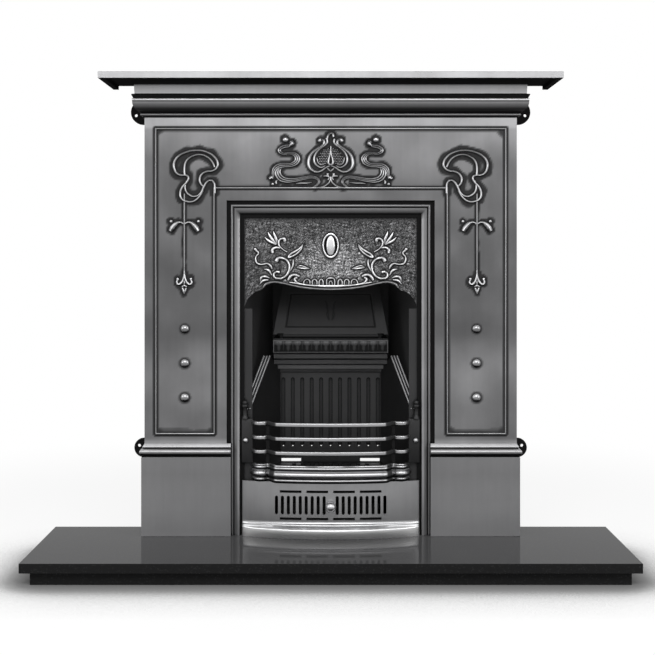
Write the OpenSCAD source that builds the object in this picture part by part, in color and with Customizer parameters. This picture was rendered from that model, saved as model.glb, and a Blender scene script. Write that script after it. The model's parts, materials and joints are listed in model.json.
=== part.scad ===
// Cast iron fireplace on a two-tier stone hearth.
// X runs across, -Y faces the room, +Z is up. The origin is on the floor, in the middle of the whole.
// Inside at_wall() a piece is drawn from the wall face and the hearth's top: y = -(distance into the room).

/* [Hearth] */
// Width of the upper stone slab
hearth_w = 1372; // [1150:1:1600]
// Depth of the hearth, from the wall into the room
hearth_d = 381; // [300:1:500]
// Thickness of the upper slab
slab_t = 22; // [15:1:40]
// Thickness of the lower slab
base_t = 30; // [15:1:50]
// How far the lower slab stands back at the front and at both ends
base_inset = 20; // [5:1:60]

/* [Shelf] */
// Height of the shelf's top above the hearth
shelf_h = 1105; // [1060:1:1250]
// Length of the shelf
shelf_w = 1084; // [1000:1:1300]
// Depth of the shelf, from the wall
shelf_d = 215; // [160:1:300]
// Height of the shelf's front and end edges
shelf_edge = 16; // [11:1:30]
// Thickness of the shelf's plate
shelf_t = 7; // [6:0.5:10]
// Thickness of the shelf's turned-down edges
shelf_rim = 14; // [8:1:25]
// Radius of the shelf bolts' shanks
shelf_bolt_r = 4; // [3:0.5:5]

/* [Surround] */
// Width of the front plate
plate_w = 898; // [840:1:990]
// Distance from the wall to the front plate's face
plate_d = 104; // [96:1:125]
// Thickness of the surround's castings
cast_t = 8; // [6:0.5:9]
// Width of the opening in the front plate
aperture_w = 502; // [460:1:540]
// Height of the opening above the hearth
aperture_h = 809; // [780:1:850]
// Distance the cornice stands out from the plate
cornice_out = 26; // [16:1:36]
// Height of the cornice mouldings under the shelf's plate
cornice_h = 89; // [70:1:100]
// Radius of the studs on the side panels
stud_r = 11; // [6:0.5:16]
// Height of the studs' domes
stud_rise = 6; // [3:0.5:6]
// Number of studs on each panel
stud_n = 3; // [1:1:4]
// Distance between two studs
stud_pitch = 83; // [50:1:90]
// Width of the raised lines round the panels
ridge_w = 3; // [2:0.5:5]
// Height of the raised lines
ridge_rise = 2; // [1:0.5:4]
// Distance of the raised line from the plate's edges
ridge_margin = 27; // [15:1:40]

/* [Plinths] */
// Height of the plain plinth blocks
plinth_h = 191; // [160:1:230]
// Distance the plinths stand out from the plate
plinth_out = 8; // [4:1:16]
// Distance the plinths reach past the plate's outer edge
plinth_side = 7; // [3:1:15]
// Distance the plinths reach into the opening
plinth_lap = 10.5; // [5:0.5:12]
// Height of the mouldings on the plinths
torus_h = 32; // [24:1:44]

/* [Wall lugs] */
// Radius of the four screw holes
lug_hole_r = 3.75; // [2.5:0.25:5]
// Radius of the two lower lugs
lug_r = 24; // [20:1:28]
// Thickness of the lugs
lug_t = 6; // [4:0.5:10]
// Radius of the two upper lugs
upper_lug_r = 31; // [26:1:34]
// Distance of the upper screw holes outside the plate
upper_lug_out = 35; // [30:1:38]
// Distance of the upper screw holes under the shelf's top
upper_lug_drop = 81; // [78:1:150]
// Height of the lower screw holes above the hearth
lower_lug_h = 203; // [60:1:204]
// Distance of the lower screw holes outside the plinths
lower_lug_out = 20; // [14:1:26]

/* [Insert frame] */
// Width of the moulded frame, from the plate's opening inwards
frame_w = 41; // [38:1:50]
// Thickness of the frame
frame_t = 8; // [6:0.5:10]
// Width of the frame behind the plate
frame_lap = 16; // [14:1:22]
// Radius of the frame's bead
bead_r = 3.5; // [2:0.5:4.5]
// Width of the frame's flat strip
strip_w = 11; // [6:1:12]
// Rise of the flat strip
strip_rise = 3; // [1:0.5:5]
// Thickness of the frame's inner lip
lip_t = 4; // [2:0.5:5]

/* [Canopy] */
// Thickness of the canopy
canopy_t = 6; // [4:0.5:8]
// Height of the canopy above the middle of its lower edge
canopy_drop = 178; // [140:1:190]
// Height of the rolled edge
roll_h = 7; // [4:0.5:12]
// Rise of the rolled edge in front of the canopy
roll_rise = 5; // [2:0.5:8]
// Half width of the oval boss
boss_rx = 20; // [12:1:30]
// Half height of the oval boss
boss_rz = 31; // [20:1:45]
// Rise of the oval boss
boss_rise = 6; // [3:0.5:10]

/* [Firebox] */
// Depth of the fire, from the frame's back to the fireback
fire_depth = 148; // [120:1:160]
// Width of the fireback between the cheeks
fireback_w = 254; // [235:1:280]
// Thickness of the fireback
fireback_t = 12; // [10:0.5:16]
// Height of the ribbed fireback above the hearth
fireback_h = 378; // [360:1:400]
// Number of flutes in the fireback
flute_n = 11; // [5:1:11]
// Width of one flute
flute_w = 10; // [6:0.5:14]
// Depth of one flute
flute_depth = 4; // [2:0.5:6]
// Height of the cap mouldings on the fireback
cap_h = 92; // [80:1:105]
// Distance the cap overhangs the fireback
cap_out = 80; // [66:1:85]
// Width of the cap
cap_w = 284; // [262:1:292]
// Thickness of the cheeks
cheek_t = 10; // [7:0.5:12]
// Height of the cheeks at the bars
cheek_front_h = 300; // [260:1:330]
// Height of the cheeks at the fireback
cheek_back_h = 425; // [400:1:440]
// Thickness of the side walls and of the smoke box's back
wall_t = 8; // [6:0.5:10]
// Height of the side walls
wall_h = 700; // [670:1:760]
// Depth of the smoke box behind the fireback's face
smoke_depth = 50; // [40:1:80]

/* [Damper] */
// Length of the flap above its pin
flap_len = 165; // [140:1:170]
// Half width of the flap's lower edge
flap_low_hw = 142; // [130:1:146]
// Half width of the flap's upper edge
flap_top_hw = 117; // [90:1:125]
// Thickness of the flap
flap_t = 8; // [5:0.5:10]
// Radius of the flap's pin
pin_r = 4; // [3:0.5:5]
// Angle by which the open flap leans back
flap_lean = 27; // [10:1:28]

/* [Grate and bars] */
// Height of the bottom grate's top above the hearth
grate_h = 150; // [146:1:155]
// Thickness of the bottom grate
grate_t = 12; // [8:1:14]
// Width of one slot in the grate
grate_slot = 11; // [6:1:14]
// Distance between two slots in the grate
grate_pitch = 23; // [20:1:32]
// Height of the front bars
bar_h = 9; // [6:0.5:12]
// Thickness of the front bars
bar_t = 7; // [5:0.5:8]
// Distance between two front bars
bar_pitch = 34; // [28:1:36]
// Distance of the bars' middle in front of the frame's lip
bar_bow = 63; // [60:1:70]
// Height of the moulded rail under the bars
rail_h = 42; // [36:1:46]
// Distance the rail's middle moulding bulges in front of the bars
rail_bulge = 6; // [3:0.5:8]
// Width of one bar standard
standard_w = 27; // [24:1:29]
// Thickness of the bar standards
standard_t = 8; // [6:0.5:10]
// Radius of the knobs on the standards
finial_r = 6.5; // [4:0.5:9]

/* [Ash pit] */
// Height of the ash-pit cover
cover_h = 133; // [122:1:140]
// Thickness of the cover's face
cover_t = 6; // [4:0.5:8]
// Bow of the cover's face in the middle
cover_bow = 28.5; // [15:0.5:40]
// Distance the foot lip stands out in the middle
foot_out = 22; // [12:1:30]
// Height of the foot lip
foot_h = 38; // [30:1:40]
// Number of air slots each side of the knob
slot_n = 9; // [4:1:9]
// Width of one air slot
slot_w = 7; // [4:0.5:7]
// Height of one air slot
slot_h = 45; // [30:1:46]
// Distance between two air slots
slot_pitch = 14.3; // [13:0.1:15]
// Radius of the air knob
knob_r = 13; // [9:0.5:15]
// Thickness of the air slide
slide_t = 3; // [2:0.5:4]
// Width of the ash pan
pan_w = 236; // [160:1:236]
// Height of the ash pan
pan_h = 70; // [40:1:100]
// Thickness of the ash pan's sheet
pan_t = 2; // [1:0.5:3]

/* [Clearances] */
// Gap between pieces that are lifted or pulled apart
lift_gap = 0.5; // [0.3:0.1:1]
// Radial gap of the flap on its pin
pin_gap = 0.1; // [0.05:0.01:0.1]
// Radial gap round bolts
bolt_gap = 0.2; // [0.1:0.05:0.5]
// Gap in front of and behind the air slide
slide_gap = 1.5; // [1.2:0.1:2]
// Gap between the bottom grate and the cheeks
grate_gap = 2; // [1:0.5:4]

/* [Hidden] */
$fn = 64;
over = 1;                                   // how far a cutter runs past a face

// Where the main planes lie, as distances from the wall into the room
plate_back = plate_d - cast_t;
frame_back = plate_back - frame_t;
lip_face = frame_back + lip_t;
canopy_back = frame_back - canopy_t;
fire_d = frame_back - fire_depth;
smoke_d = fire_d - smoke_depth;
rear_d = smoke_d - wall_t;
plinth_d = plate_d + plinth_out;
standard_face = lip_face + standard_t;

// The bolts that hold the smoke box's back
smoke_bolt_r = 2.5;
smoke_bolt_head = 4;
smoke_bolt_grip = 10;                       // depth of their holes in the side walls

// The origin lies halfway between the hearth's front and the bolt heads on the smoke box's back
wall_y = (hearth_d + rear_d - smoke_bolt_head) / 2;
hearth_h = slab_t + base_t;

// Half widths and heights
plate_hw = plate_w / 2;
ap_hw = aperture_w / 2;
plinth_in = ap_hw - plinth_lap;
plinth_edge = plate_hw + plinth_side;
plate_foot = plinth_h + torus_h;
plinth_wall = cast_t + 4;                   // thicker, for the groove under the moulding
plate_top = shelf_h - shelf_t;
cornice_foot = plate_top - cornice_h;
upper_lug_h = shelf_h - upper_lug_drop;
upper_lug_x = plate_hw + upper_lug_out;
open_hw = ap_hw - frame_w;
open_h = aperture_h - frame_w;
canopy_lap = 11;
strip_in = 11;                              // inner edge of the strip, from the frame's inner edge
lug_offset = 12.8;                          // a lug's centre lies inside and above or below its hole
fb_hw = fireback_w / 2;
cap_top = fireback_h + cap_h;

module at_wall() { translate([0, wall_y, hearth_h]) children(); }
module mirrored() { children(); mirror([1, 0, 0]) children(); }

// A box given by its half-open ranges: across, into the room, up
module block(x0, x1, d0, d1, h0, h1) {
    translate([x0, -d1, h0]) cube([x1 - x0, d1 - d0, h1 - h0]);
}

// A plan outline, given as [x, distance], made into a solid between two heights
module plan(points, h0, h1) {
    translate([0, 0, h0]) linear_extrude(h1 - h0) polygon([for (p = points) [p[0], -p[1]]]);
}

// A side outline, given as [distance, height], made into a solid across X
module side(points, x0, x1) {
    translate([x0, 0, 0]) rotate([90, 0, 90]) linear_extrude(x1 - x0)
        polygon([for (p = points) [-p[0], p[1]]]);
}

// A front outline, given as [x, height], made into a solid between two distances
module front(points, d0, d1) {
    translate([0, -d0, 0]) rotate([90, 0, 0]) linear_extrude(d1 - d0) polygon(points);
}

// A round rod along Y
module rod(x, h, r, d0, d1) {
    translate([x, -d0, h]) rotate([90, 0, 0]) cylinder(h = d1 - d0, r = r);
}

// A smooth curve through points chosen by hand (Catmull-Rom), with n steps between two points
function knot(points, i) = points[max(0, min(len(points) - 1, i))];
function smooth_at(a, b, c, d, t) = 0.5 * (2 * b + (c - a) * t + (2 * a - 5 * b + 4 * c - d) * t * t
    + (3 * b - a - 3 * c + d) * t * t * t);
function smooth(points, n) = [for (i = [0 : len(points) - 2], k = [0 : n - 1])
    smooth_at(knot(points, i - 1), points[i], points[i + 1], knot(points, i + 2), k / n),
    points[len(points) - 1]];
function flip(points) = [for (i = [len(points) - 1 : -1 : 0]) [-points[i][0], points[i][1]]];
function backwards(points) = [for (i = [len(points) - 1 : -1 : 0]) points[i]];
function shifted(points, x, y) = [for (p = points) p + [x, y]];

// ---------------------------------------------------------------- hearth

module hearth_slab() {
    color([0.13, 0.13, 0.14]) at_wall() block(-hearth_w / 2, hearth_w / 2, 0, hearth_d, -slab_t, 0);
}

module hearth_base() {
    color([0.08, 0.08, 0.09]) at_wall()
        block(base_inset - hearth_w / 2, hearth_w / 2 - base_inset, 0, hearth_d - base_inset,
            -hearth_h, -slab_t);
}

// ---------------------------------------------------------------- surround

// The plinth moulding's outline: [distance out of the block, share of the moulding's height]
torus_line = [[-4, 0], [1, 0.08], [3.5, 0.2], [4.5, 0.36], [3.5, 0.52], [1, 0.66], [-3, 0.7], [-3, 1]];

module wall_lug(x, h, lug_x, lug_h, r) {
    difference() {
        rod(lug_x, lug_h, r, 0, lug_t);
        rod(x, h, lug_hole_r, -over, lug_t + over);
    }
}

module plinth() {
    lower_lug_x = plinth_edge + lower_lug_out;
    lug_x = lower_lug_x - lug_offset * 0.9;
    outer_line = [for (p = torus_line) [plinth_edge + p[0], plinth_h + p[1] * torus_h]];
    inner_line = [[plinth_in, plate_foot], [plinth_in, plinth_h]];
    front_line = [for (p = torus_line) [plinth_d + p[0], plinth_h + p[1] * torus_h]];
    difference() {
        union() {
            block(plinth_in, plinth_edge, 0, plinth_d, 0, plinth_h);
            intersection() {
                front(concat(outer_line, inner_line), 0, plinth_d + 2 * plinth_out);
                side(concat(front_line, [[0, plate_foot], [0, plinth_h]]), 0, hearth_w);
            }
        }
        block(plinth_in + cast_t, plinth_edge - plinth_wall, -over, plinth_d - plinth_wall, -over,
            plate_foot - cast_t);
    }
    difference() {
        wall_lug(lower_lug_x, lower_lug_h, lug_x, lower_lug_h - lug_offset * 0.4, lug_r);
        block(plinth_edge - 2 * lug_r, plinth_edge - plinth_wall / 2, -over, lug_t + over, 0,
            plate_foot - cast_t);
    }
}

module left_plinth() { color([0.5, 0.5, 0.51]) at_wall() mirror([1, 0, 0]) plinth(); }
module right_plinth() { color([0.5, 0.5, 0.51]) at_wall() plinth(); }

shelf_bolt_x = [0.33, 0.84];                // places of the shelf bolts, as shares of the half width
ledge_d = 24;                               // depth of the ledge under the shelf
shelf_bolt_d = plate_back - ledge_d / 2;

upper_lug_mid = [upper_lug_x - lug_offset * 1.4, upper_lug_h + lug_offset * 0.6];

module upper_lugs() {
    mirrored() difference() {
        wall_lug(upper_lug_x, upper_lug_h, upper_lug_mid[0], upper_lug_mid[1], upper_lug_r);
        block(0, plate_hw - cast_t / 2, -over, lug_t + over, 0, shelf_h);
    }
}

module front_plate() {
    color([0.55, 0.55, 0.56]) at_wall() difference() {
        union() {
            difference() {
                block(-plate_hw, plate_hw, 0, plate_d, plate_foot, plate_top);
                block(cast_t - plate_hw, plate_hw - cast_t, -over, plate_back, plate_foot - over,
                    plate_top + over);
            }
            block(cast_t - plate_hw - over, plate_hw - cast_t + over, plate_back - ledge_d,
                plate_back + over, plate_top - cast_t, plate_top);
            upper_lugs();
        }
        block(-ap_hw, ap_hw, 0, plate_d + over, 0, aperture_h);
        mirrored() for (s = shelf_bolt_x) translate([s * plate_hw, -shelf_bolt_d, plate_top - cast_t - over])
            cylinder(h = cast_t + 2 * over, r = shelf_bolt_r + bolt_gap);
        insert_bolt_holes(plate_back - over, plate_back + insert_grip);
    }
}

// The cornice's outline: [distance out of the plate, height under the shelf's plate]
function ovolo(steps) = [for (i = [1 : steps]) [8 + (cornice_out - 7) * cos(90 * i / steps),
    52 + 24 * sin(90 * i / steps)]];
cornice_line = concat([[cornice_out - 5, 0], [cornice_out - 5, 18], [cornice_out - 4, 26],
    [cornice_out - 1, 33], [cornice_out + 2, 37], [cornice_out + 2, 38], [cornice_out - 2, 45],
    [cornice_out, 46], [cornice_out + 1, 49], [cornice_out, 52]], ovolo(8),
    [[4, 77], [4, 79], [8, 80], [9, 83], [8, 86], [3, 87], [3, 89]]);

module cornice() {
    drop = cornice_h / 89;
    front_line = [for (p = cornice_line) [plate_d + p[0], plate_top - p[1] * drop]];
    half_line = [for (p = cornice_line) [plate_hw + p[0], plate_top - p[1] * drop]];
    color([0.45, 0.45, 0.46]) at_wall() difference() {
        intersection() {
            side(concat(front_line, [[0, cornice_foot], [0, plate_top]]), -hearth_w, hearth_w);
            front(concat(half_line, flip(half_line)), 0, 2 * plate_d);
        }
        block(-plate_hw, plate_hw, -over, plate_d, cornice_foot - over, plate_top + over);
        mirrored() rod(upper_lug_mid[0], upper_lug_mid[1], upper_lug_r, -over, lug_t);
    }
}

module mantel_shelf() {
    hw = shelf_w / 2;
    color([0.72, 0.72, 0.73]) at_wall() difference() {
        block(-hw, hw, 0, shelf_d, shelf_h - shelf_edge, shelf_h);
        block(shelf_rim - hw, hw - shelf_rim, -over, shelf_d - shelf_rim, 0, plate_top);
        mirrored() for (s = shelf_bolt_x) translate([s * plate_hw, -shelf_bolt_d, plate_top - over])
            cylinder(h = over + shelf_t * 0.7, r = shelf_bolt_r + bolt_gap);
    }
}

module hex_bolt(r, head_t, shank) {
    cylinder(h = head_t, r = r * 1.85, $fn = 6);
    translate([0, 0, head_t]) cylinder(h = shank, r = r);
}

module shelf_bolts() {
    head = 5;
    color([0.3, 0.3, 0.3]) at_wall() mirrored() for (s = shelf_bolt_x)
        translate([s * plate_hw, -shelf_bolt_d, plate_top - cast_t - head])
            hex_bolt(shelf_bolt_r, head, cast_t + shelf_t * 0.6);
}

// The raised line round the panels: one band that runs round the inverted U
module u_outline(inset, d0, d1) {
    x = plate_hw - ridge_margin - inset;
    inner = ap_hw + ridge_margin + 3 + inset;
    low = plate_foot + ridge_margin - 4 + inset;
    high = cornice_foot - ridge_margin - inset;
    mid = aperture_h + ridge_margin + 3 + inset;
    front([[-x, low], [-inner, low], [-inner, mid], [inner, mid], [inner, low], [x, low], [x, high],
        [-x, high]], d0, d1);
}

module panel_ridges() {
    color([0.75, 0.75, 0.76]) at_wall() difference() {
        u_outline(0, plate_d, plate_d + ridge_rise);
        u_outline(ridge_w, plate_d - over, plate_d + ridge_rise + over);
    }
}

module panel_studs() {
    ball = (stud_r * stud_r + stud_rise * stud_rise) / (2 * stud_rise);
    x = (ap_hw + plate_hw) / 2 + 2;
    color([0.8, 0.8, 0.8]) at_wall() mirrored() for (i = [0 : stud_n - 1])
        translate([x, -plate_d, plate_foot + 110 + i * stud_pitch]) intersection() {
            translate([0, ball - stud_rise, 0]) sphere(r = ball);
            rotate([90, 0, 0]) cylinder(h = stud_rise + over, r = stud_r + over);
        }
}

// ---------------------------------------------------------------- insert frame and canopy

insert_r = 3.5;                             // radius of the insert bolts
insert_grip = cast_t - 3;                   // depth of their holes in the front plate
insert_side_h = [0.4, 0.85];                // their heights, as shares of the opening's height
insert_head = 5;

module insert_bolt_places() {
    x = ap_hw + frame_lap / 2;
    mirrored() {
        for (s = insert_side_h) translate([x, 0, s * aperture_h]) children();
        translate([ap_hw / 2, 0, aperture_h + frame_lap / 2]) children();
    }
}

module insert_bolt_holes(d0, d1) {
    insert_bolt_places() rod(0, 0, insert_r + bolt_gap, d0, d1);
}

// An inverted U that stands on the hearth: x is its outer edge, w its width
module portal(x, top, w, d0, d1) {
    difference() {
        block(-x, x, d0, d1, 0, top);
        block(w - x, x - w, d0 - over, d1 + over, -over, top - w);
    }
}

module insert_frame() {
    bead_x = ap_hw - 13.5;
    bead_top = aperture_h - 13.5;
    strip_x = open_hw + strip_in + strip_w;
    strip_top = open_h + strip_in + strip_w;
    color([0.5, 0.5, 0.51]) at_wall() difference() {
        union() {
            portal(ap_hw + frame_lap, aperture_h + frame_lap, frame_w + frame_lap - strip_in, frame_back,
                plate_back);
            portal(open_hw + strip_in + over, open_h + strip_in + over, strip_in + over, frame_back,
                lip_face);
            portal(strip_x, strip_top, strip_w, plate_back - over, plate_back + strip_rise);
            mirrored() {
                translate([bead_x, -plate_back, 0]) cylinder(h = bead_top, r = bead_r);
                translate([bead_x, -plate_back, bead_top]) sphere(r = bead_r);
            }
            translate([-bead_x, -plate_back, bead_top]) rotate([0, 90, 0])
                cylinder(h = 2 * bead_x, r = bead_r);
        }
        insert_bolt_holes(frame_back - over, plate_back + over);
        mirrored() block(plinth_in, hearth_w, 0, plinth_d, -over, plate_foot);
    }
}

module insert_bolts() {
    color([0.3, 0.3, 0.3]) at_wall() insert_bolt_places()
        translate([0, insert_head - frame_back, 0]) rotate([90, 0, 0])
            hex_bolt(insert_r, insert_head, frame_t + insert_grip - 1);
}

// Lower edge of the canopy, right half: [share of the opening's half width, rise above the middle]
canopy_middle = [[0, 0], [0.236, 4], [0.42, 10], [0.568, 17], [0.66, 19], [0.7, 18.5]];
canopy_arch = [[0.765, 8.5], [0.804, 2], [0.878, -2.5], [0.957, -18], [1.003, -43]];
canopy_low = open_h - canopy_drop;
canopy_share = canopy_drop / 178;
function canopy_edge(points) = [for (p = smooth(points, 5))
    [p[0] * open_hw, canopy_low + p[1] * canopy_share]];
middle_edge = canopy_edge(canopy_middle);
half_edge = concat(middle_edge, canopy_edge(canopy_arch));

canopy_nut_x = [0.3, 0.8];                  // places of the canopy's nuts, as shares of the half width
canopy_nut_r = 6;

module canopy() {
    x = open_hw + canopy_lap;
    top = open_h + canopy_lap;
    side_h = half_edge[len(half_edge) - 1][1];
    outline = concat(flip(half_edge), half_edge, [[x, side_h], [x, top], [-x, top], [-x, side_h]]);
    roll = concat(flip(middle_edge), middle_edge, shifted(backwards(middle_edge), 0, roll_h),
        shifted(backwards(flip(middle_edge)), 0, roll_h));
    color([0.42, 0.42, 0.43]) at_wall() {
        front(outline, canopy_back, frame_back);
        front(roll, frame_back - over, frame_back + roll_rise);
    }
}

module canopy_nuts() {
    color([0.3, 0.3, 0.3]) at_wall() mirrored() for (s = canopy_nut_x)
        translate([s * open_hw, -canopy_back, open_h + canopy_lap / 2]) rotate([-90, 0, 0])
            cylinder(h = 4, r = canopy_nut_r, $fn = 6);
}

module oval(rx, rz, rise) {
    scale([1, 1, rz / rx]) rotate([90, 0, 0]) cylinder(h = rise, r = rx);
}

module canopy_boss() {
    rim = 4;
    color([0.9, 0.9, 0.9]) at_wall() translate([0, -frame_back, canopy_low + canopy_drop * 0.62]) {
        difference() {
            oval(boss_rx, boss_rz, boss_rise);
            translate([0, -boss_rise * 0.5, 0]) oval(boss_rx - rim, boss_rz - rim, boss_rise);
        }
        translate([0, -boss_rise * 0.4, 0]) oval(boss_rx * 0.6, boss_rz * 0.72, boss_rise * 0.8);
    }
}

// ---------------------------------------------------------------- firebox

wall_front_x = open_hw + 4;
wall_back_x = fb_hw + 23;
flange_lap = 20;                            // width of the walls' flanges inside the frame's lip
flange_in = open_hw - flange_lap;
flange_t = 8;
cheek_front_x = open_hw - 14;
cheek_front_d = frame_back - flange_t;
bolt_x = open_hw - 5;                       // place of the standards' bolts
bolt_h = 230;
bolt_r = 4;
smoke_bolt_inset = 40;                      // distance of the smoke back's bolts from its ends
smoke_bolt_h = [fireback_h + smoke_bolt_inset, wall_h - smoke_bolt_inset];
canopy_side_h = half_edge[len(half_edge) - 1][1];

module side_wall() {
    difference() {
        union() {
            plan([[wall_front_x, canopy_back], [wall_back_x, smoke_d], [wall_back_x + wall_t, smoke_d],
                [wall_front_x + wall_t, canopy_back]], 0, wall_h);
            block(flange_in, wall_front_x + wall_t, frame_back - flange_t, frame_back, 0, canopy_side_h);
        }
        rod(bolt_x, bolt_h, bolt_r + bolt_gap, frame_back - flange_t + 1, frame_back + over);
        for (h = smoke_bolt_h) rod(wall_back_x + wall_t / 2, h, smoke_bolt_r + bolt_gap, smoke_d - over,
            smoke_d + smoke_bolt_grip);
    }
}

module left_wall() { color([0.2, 0.2, 0.2]) at_wall() mirror([1, 0, 0]) side_wall(); }
module right_wall() { color([0.2, 0.2, 0.2]) at_wall() side_wall(); }

module smoke_bolt_places() {
    mirrored() for (h = smoke_bolt_h) translate([wall_back_x + wall_t / 2, 0, h])
        children();
}

module smoke_back() {
    x = wall_back_x + wall_t;
    color([0.25, 0.25, 0.25]) at_wall() difference() {
        block(-x, x, rear_d, smoke_d, fireback_h + 2, wall_h);
        smoke_bolt_places() rod(0, 0, smoke_bolt_r + bolt_gap, rear_d - over, smoke_d + over);
    }
}

module smoke_bolts() {
    color([0.3, 0.3, 0.3]) at_wall() smoke_bolt_places() translate([0, smoke_bolt_head - rear_d, 0])
        rotate([90, 0, 0]) hex_bolt(smoke_bolt_r, smoke_bolt_head, wall_t + smoke_bolt_grip - 1);
}

flute_pitch = (fireback_w - 14) / (flute_n - 1);
flute_top = 12;                             // plain band above the flutes
flute_foot = 196;
hole_r = 2;
see_slot_w = 50;
see_slot_h = 9;

module fireback() {
    x = fb_hw + cheek_t;
    top = fireback_h - flute_top - flute_w / 2;
    color([0.22, 0.22, 0.22]) at_wall() difference() {
        block(-x, x, fire_d - fireback_t, fire_d, 0, fireback_h);
        for (i = [0 : flute_n - 1]) translate([7 + i * flute_pitch - fb_hw, 0, 0]) {
            block(-flute_w / 2, flute_w / 2, fire_d - flute_depth, fire_d + over, flute_foot, top);
            rod(0, top, flute_w / 2, fire_d - flute_depth, fire_d + over);
            rod(0, flute_foot - 4, hole_r, fire_d - fireback_t - over, fire_d + over);
        }
        mirrored() block(fb_hw - 2 - see_slot_w, fb_hw - 2, fire_d - fireback_t - over, fire_d + over,
            grate_h + 2, grate_h + 2 + see_slot_h);
    }
}

// The cap's outline over the fireback: [distance out, share of its height]
cap_line = [[0, 0], [2, 0.03], [5, 0.1], [12, 0.12], [14, 0.22], [30, 0.27], [34, 0.38], [48, 0.44],
    [52, 0.55], [66, 0.6]];
lug_h = 14;                                 // height of the damper's lugs on the cap
flap_lug_x = 118;
flap_lug_t = 8;
barrel_r = pin_r + 3.5;
pivot_d = fire_d + cap_out - 12;
pivot_h = cap_top + barrel_r + lift_gap;

module cap_lug() {
    difference() {
        union() {
            block(flap_lug_x, flap_lug_x + flap_lug_t, pivot_d - 6, pivot_d + 6, cap_top - over,
                pivot_h);
            translate([flap_lug_x, -pivot_d, pivot_h]) rotate([0, 90, 0]) cylinder(h = flap_lug_t, r = 6);
        }
        translate([flap_lug_x - over, -pivot_d, pivot_h]) rotate([0, 90, 0])
            cylinder(h = flap_lug_t + 2 * over, r = pin_r + 0.05);
    }
}

module fireback_cap() {
    t = 10;
    out = (cap_out - 12) / 68;
    face = [for (p = cap_line) [fire_d + p[0] * out, fireback_h + p[1] * cap_h]];
    band = fireback_h + 0.6 * cap_h;
    color([0.24, 0.24, 0.24]) at_wall() difference() {
        side(concat(face, [[fire_d + cap_out, band + 2], [fire_d + cap_out, cap_top - 4],
            [fire_d + cap_out - 6, cap_top], [smoke_d, cap_top], [smoke_d, cap_top - t],
            [fire_d + cap_out - 24, cap_top - t], [fire_d + cap_out - 28, band + 4],
            [fire_d - t, fireback_h + 10], [fire_d - t, fireback_h]]), -cap_w / 2, cap_w / 2);
        mirrored() plan([[fb_hw, smoke_d], [fb_hw, fire_d], [cheek_front_x, cheek_front_d],
            [hearth_w, cheek_front_d], [hearth_w, smoke_d]], fireback_h - over, cheek_back_h);
    }
    color([0.24, 0.24, 0.24]) at_wall() mirrored() cap_lug();
}

function cheek_x(d) = fb_hw + (cheek_front_x - fb_hw) * (d - fire_d) / (cheek_front_d - fire_d);
ledge_w = 8;
ledge_t = 8;

module cheek() {
    knee = fire_d + 60;
    grate_low = grate_h - grate_t - 0.3;
    intersection() {
        plan([[fb_hw, fire_d], [fb_hw + cheek_t, fire_d], [cheek_front_x + cheek_t, cheek_front_d],
            [cheek_front_x, cheek_front_d]], 0, cheek_back_h);
        side([[fire_d, 0], [cheek_front_d, 0], [cheek_front_d, cheek_front_h], [knee, cheek_back_h],
            [fire_d, cheek_back_h]], 0, hearth_w);
    }
    plan([[fb_hw - ledge_w, fire_d], [fb_hw + 1, fire_d], [cheek_front_x + 1, cheek_front_d],
        [cheek_front_x - ledge_w, cheek_front_d]], grate_low - ledge_t, grate_low);
}

module left_cheek() { color([0.18, 0.18, 0.18]) at_wall() mirror([1, 0, 0]) cheek(); }
module right_cheek() { color([0.18, 0.18, 0.18]) at_wall() cheek(); }

// ---------------------------------------------------------------- damper

flap_back = 2;                              // the flap's back lies this far in front of its pin
flap_foot = -2.5;                           // its lower edge, from the pin

module damper_flap() {
    panel = 16;                             // width of the border round the flap's panel
    sink = 2;
    face = flap_back + flap_t;
    color([0.26, 0.26, 0.26]) at_wall() translate([0, -pivot_d, pivot_h]) rotate([-flap_lean, 0, 0])
        difference() {
            union() {
                rotate([0, 90, 0]) translate([0, 0, lift_gap - flap_lug_x])
                    cylinder(h = 2 * (flap_lug_x - lift_gap), r = barrel_r);
                front([[-flap_low_hw, flap_foot], [flap_low_hw, flap_foot], [flap_top_hw, flap_len],
                    [-flap_top_hw, flap_len]], flap_back, face);
            }
            rotate([0, 90, 0]) translate([0, 0, -flap_lug_x - over])
                cylinder(h = 2 * (flap_lug_x + over), r = pin_r + pin_gap);
            mirrored() block(flap_lug_x - lift_gap, flap_lug_x + flap_lug_t + lift_gap + 4, -barrel_r,
                face + over, flap_foot - over, barrel_r + 5);
            front([[-flap_low_hw + panel + 3, 2 * panel], [flap_low_hw - panel - 3, 2 * panel],
                [flap_top_hw - panel, flap_len - panel], [-flap_top_hw + panel, flap_len - panel]],
                face - sink, face + over);
        }
}

module damper_pin() {
    reach = flap_lug_x + flap_lug_t + 3;
    color([0.6, 0.6, 0.6]) at_wall() translate([-reach, -pivot_d, pivot_h]) rotate([0, 90, 0])
        cylinder(h = 2 * reach, r = pin_r);
}

// ---------------------------------------------------------------- grate and front bars

// Plan of the front bars, right half, from the middle, as shares of the opening's half width:
// [across, distance back from the bars' middle]
bar_plan = [[0, 0], [0.286, 0.014], [0.5, 0.038], [0.624, 0.067], [0.667, 0.114], [0.69, 0.171],
    [0.724, 0.205], [0.767, 0.176], [0.819, 0.167], [0.862, 0.2], [0.886, 0.248], [0.91, 0.29],
    [0.933, 0.314]];
bar_half = [for (p = smooth(bar_plan, 4)) [p[0] * open_hw, lip_face + bar_bow - p[1] * open_hw]];
bar_line = concat(backwards(flip_x(bar_half)), [for (i = [1 : len(bar_half) - 1]) bar_half[i]]);
function flip_x(points) = [for (p = points) [-p[0], p[1]]];

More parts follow.
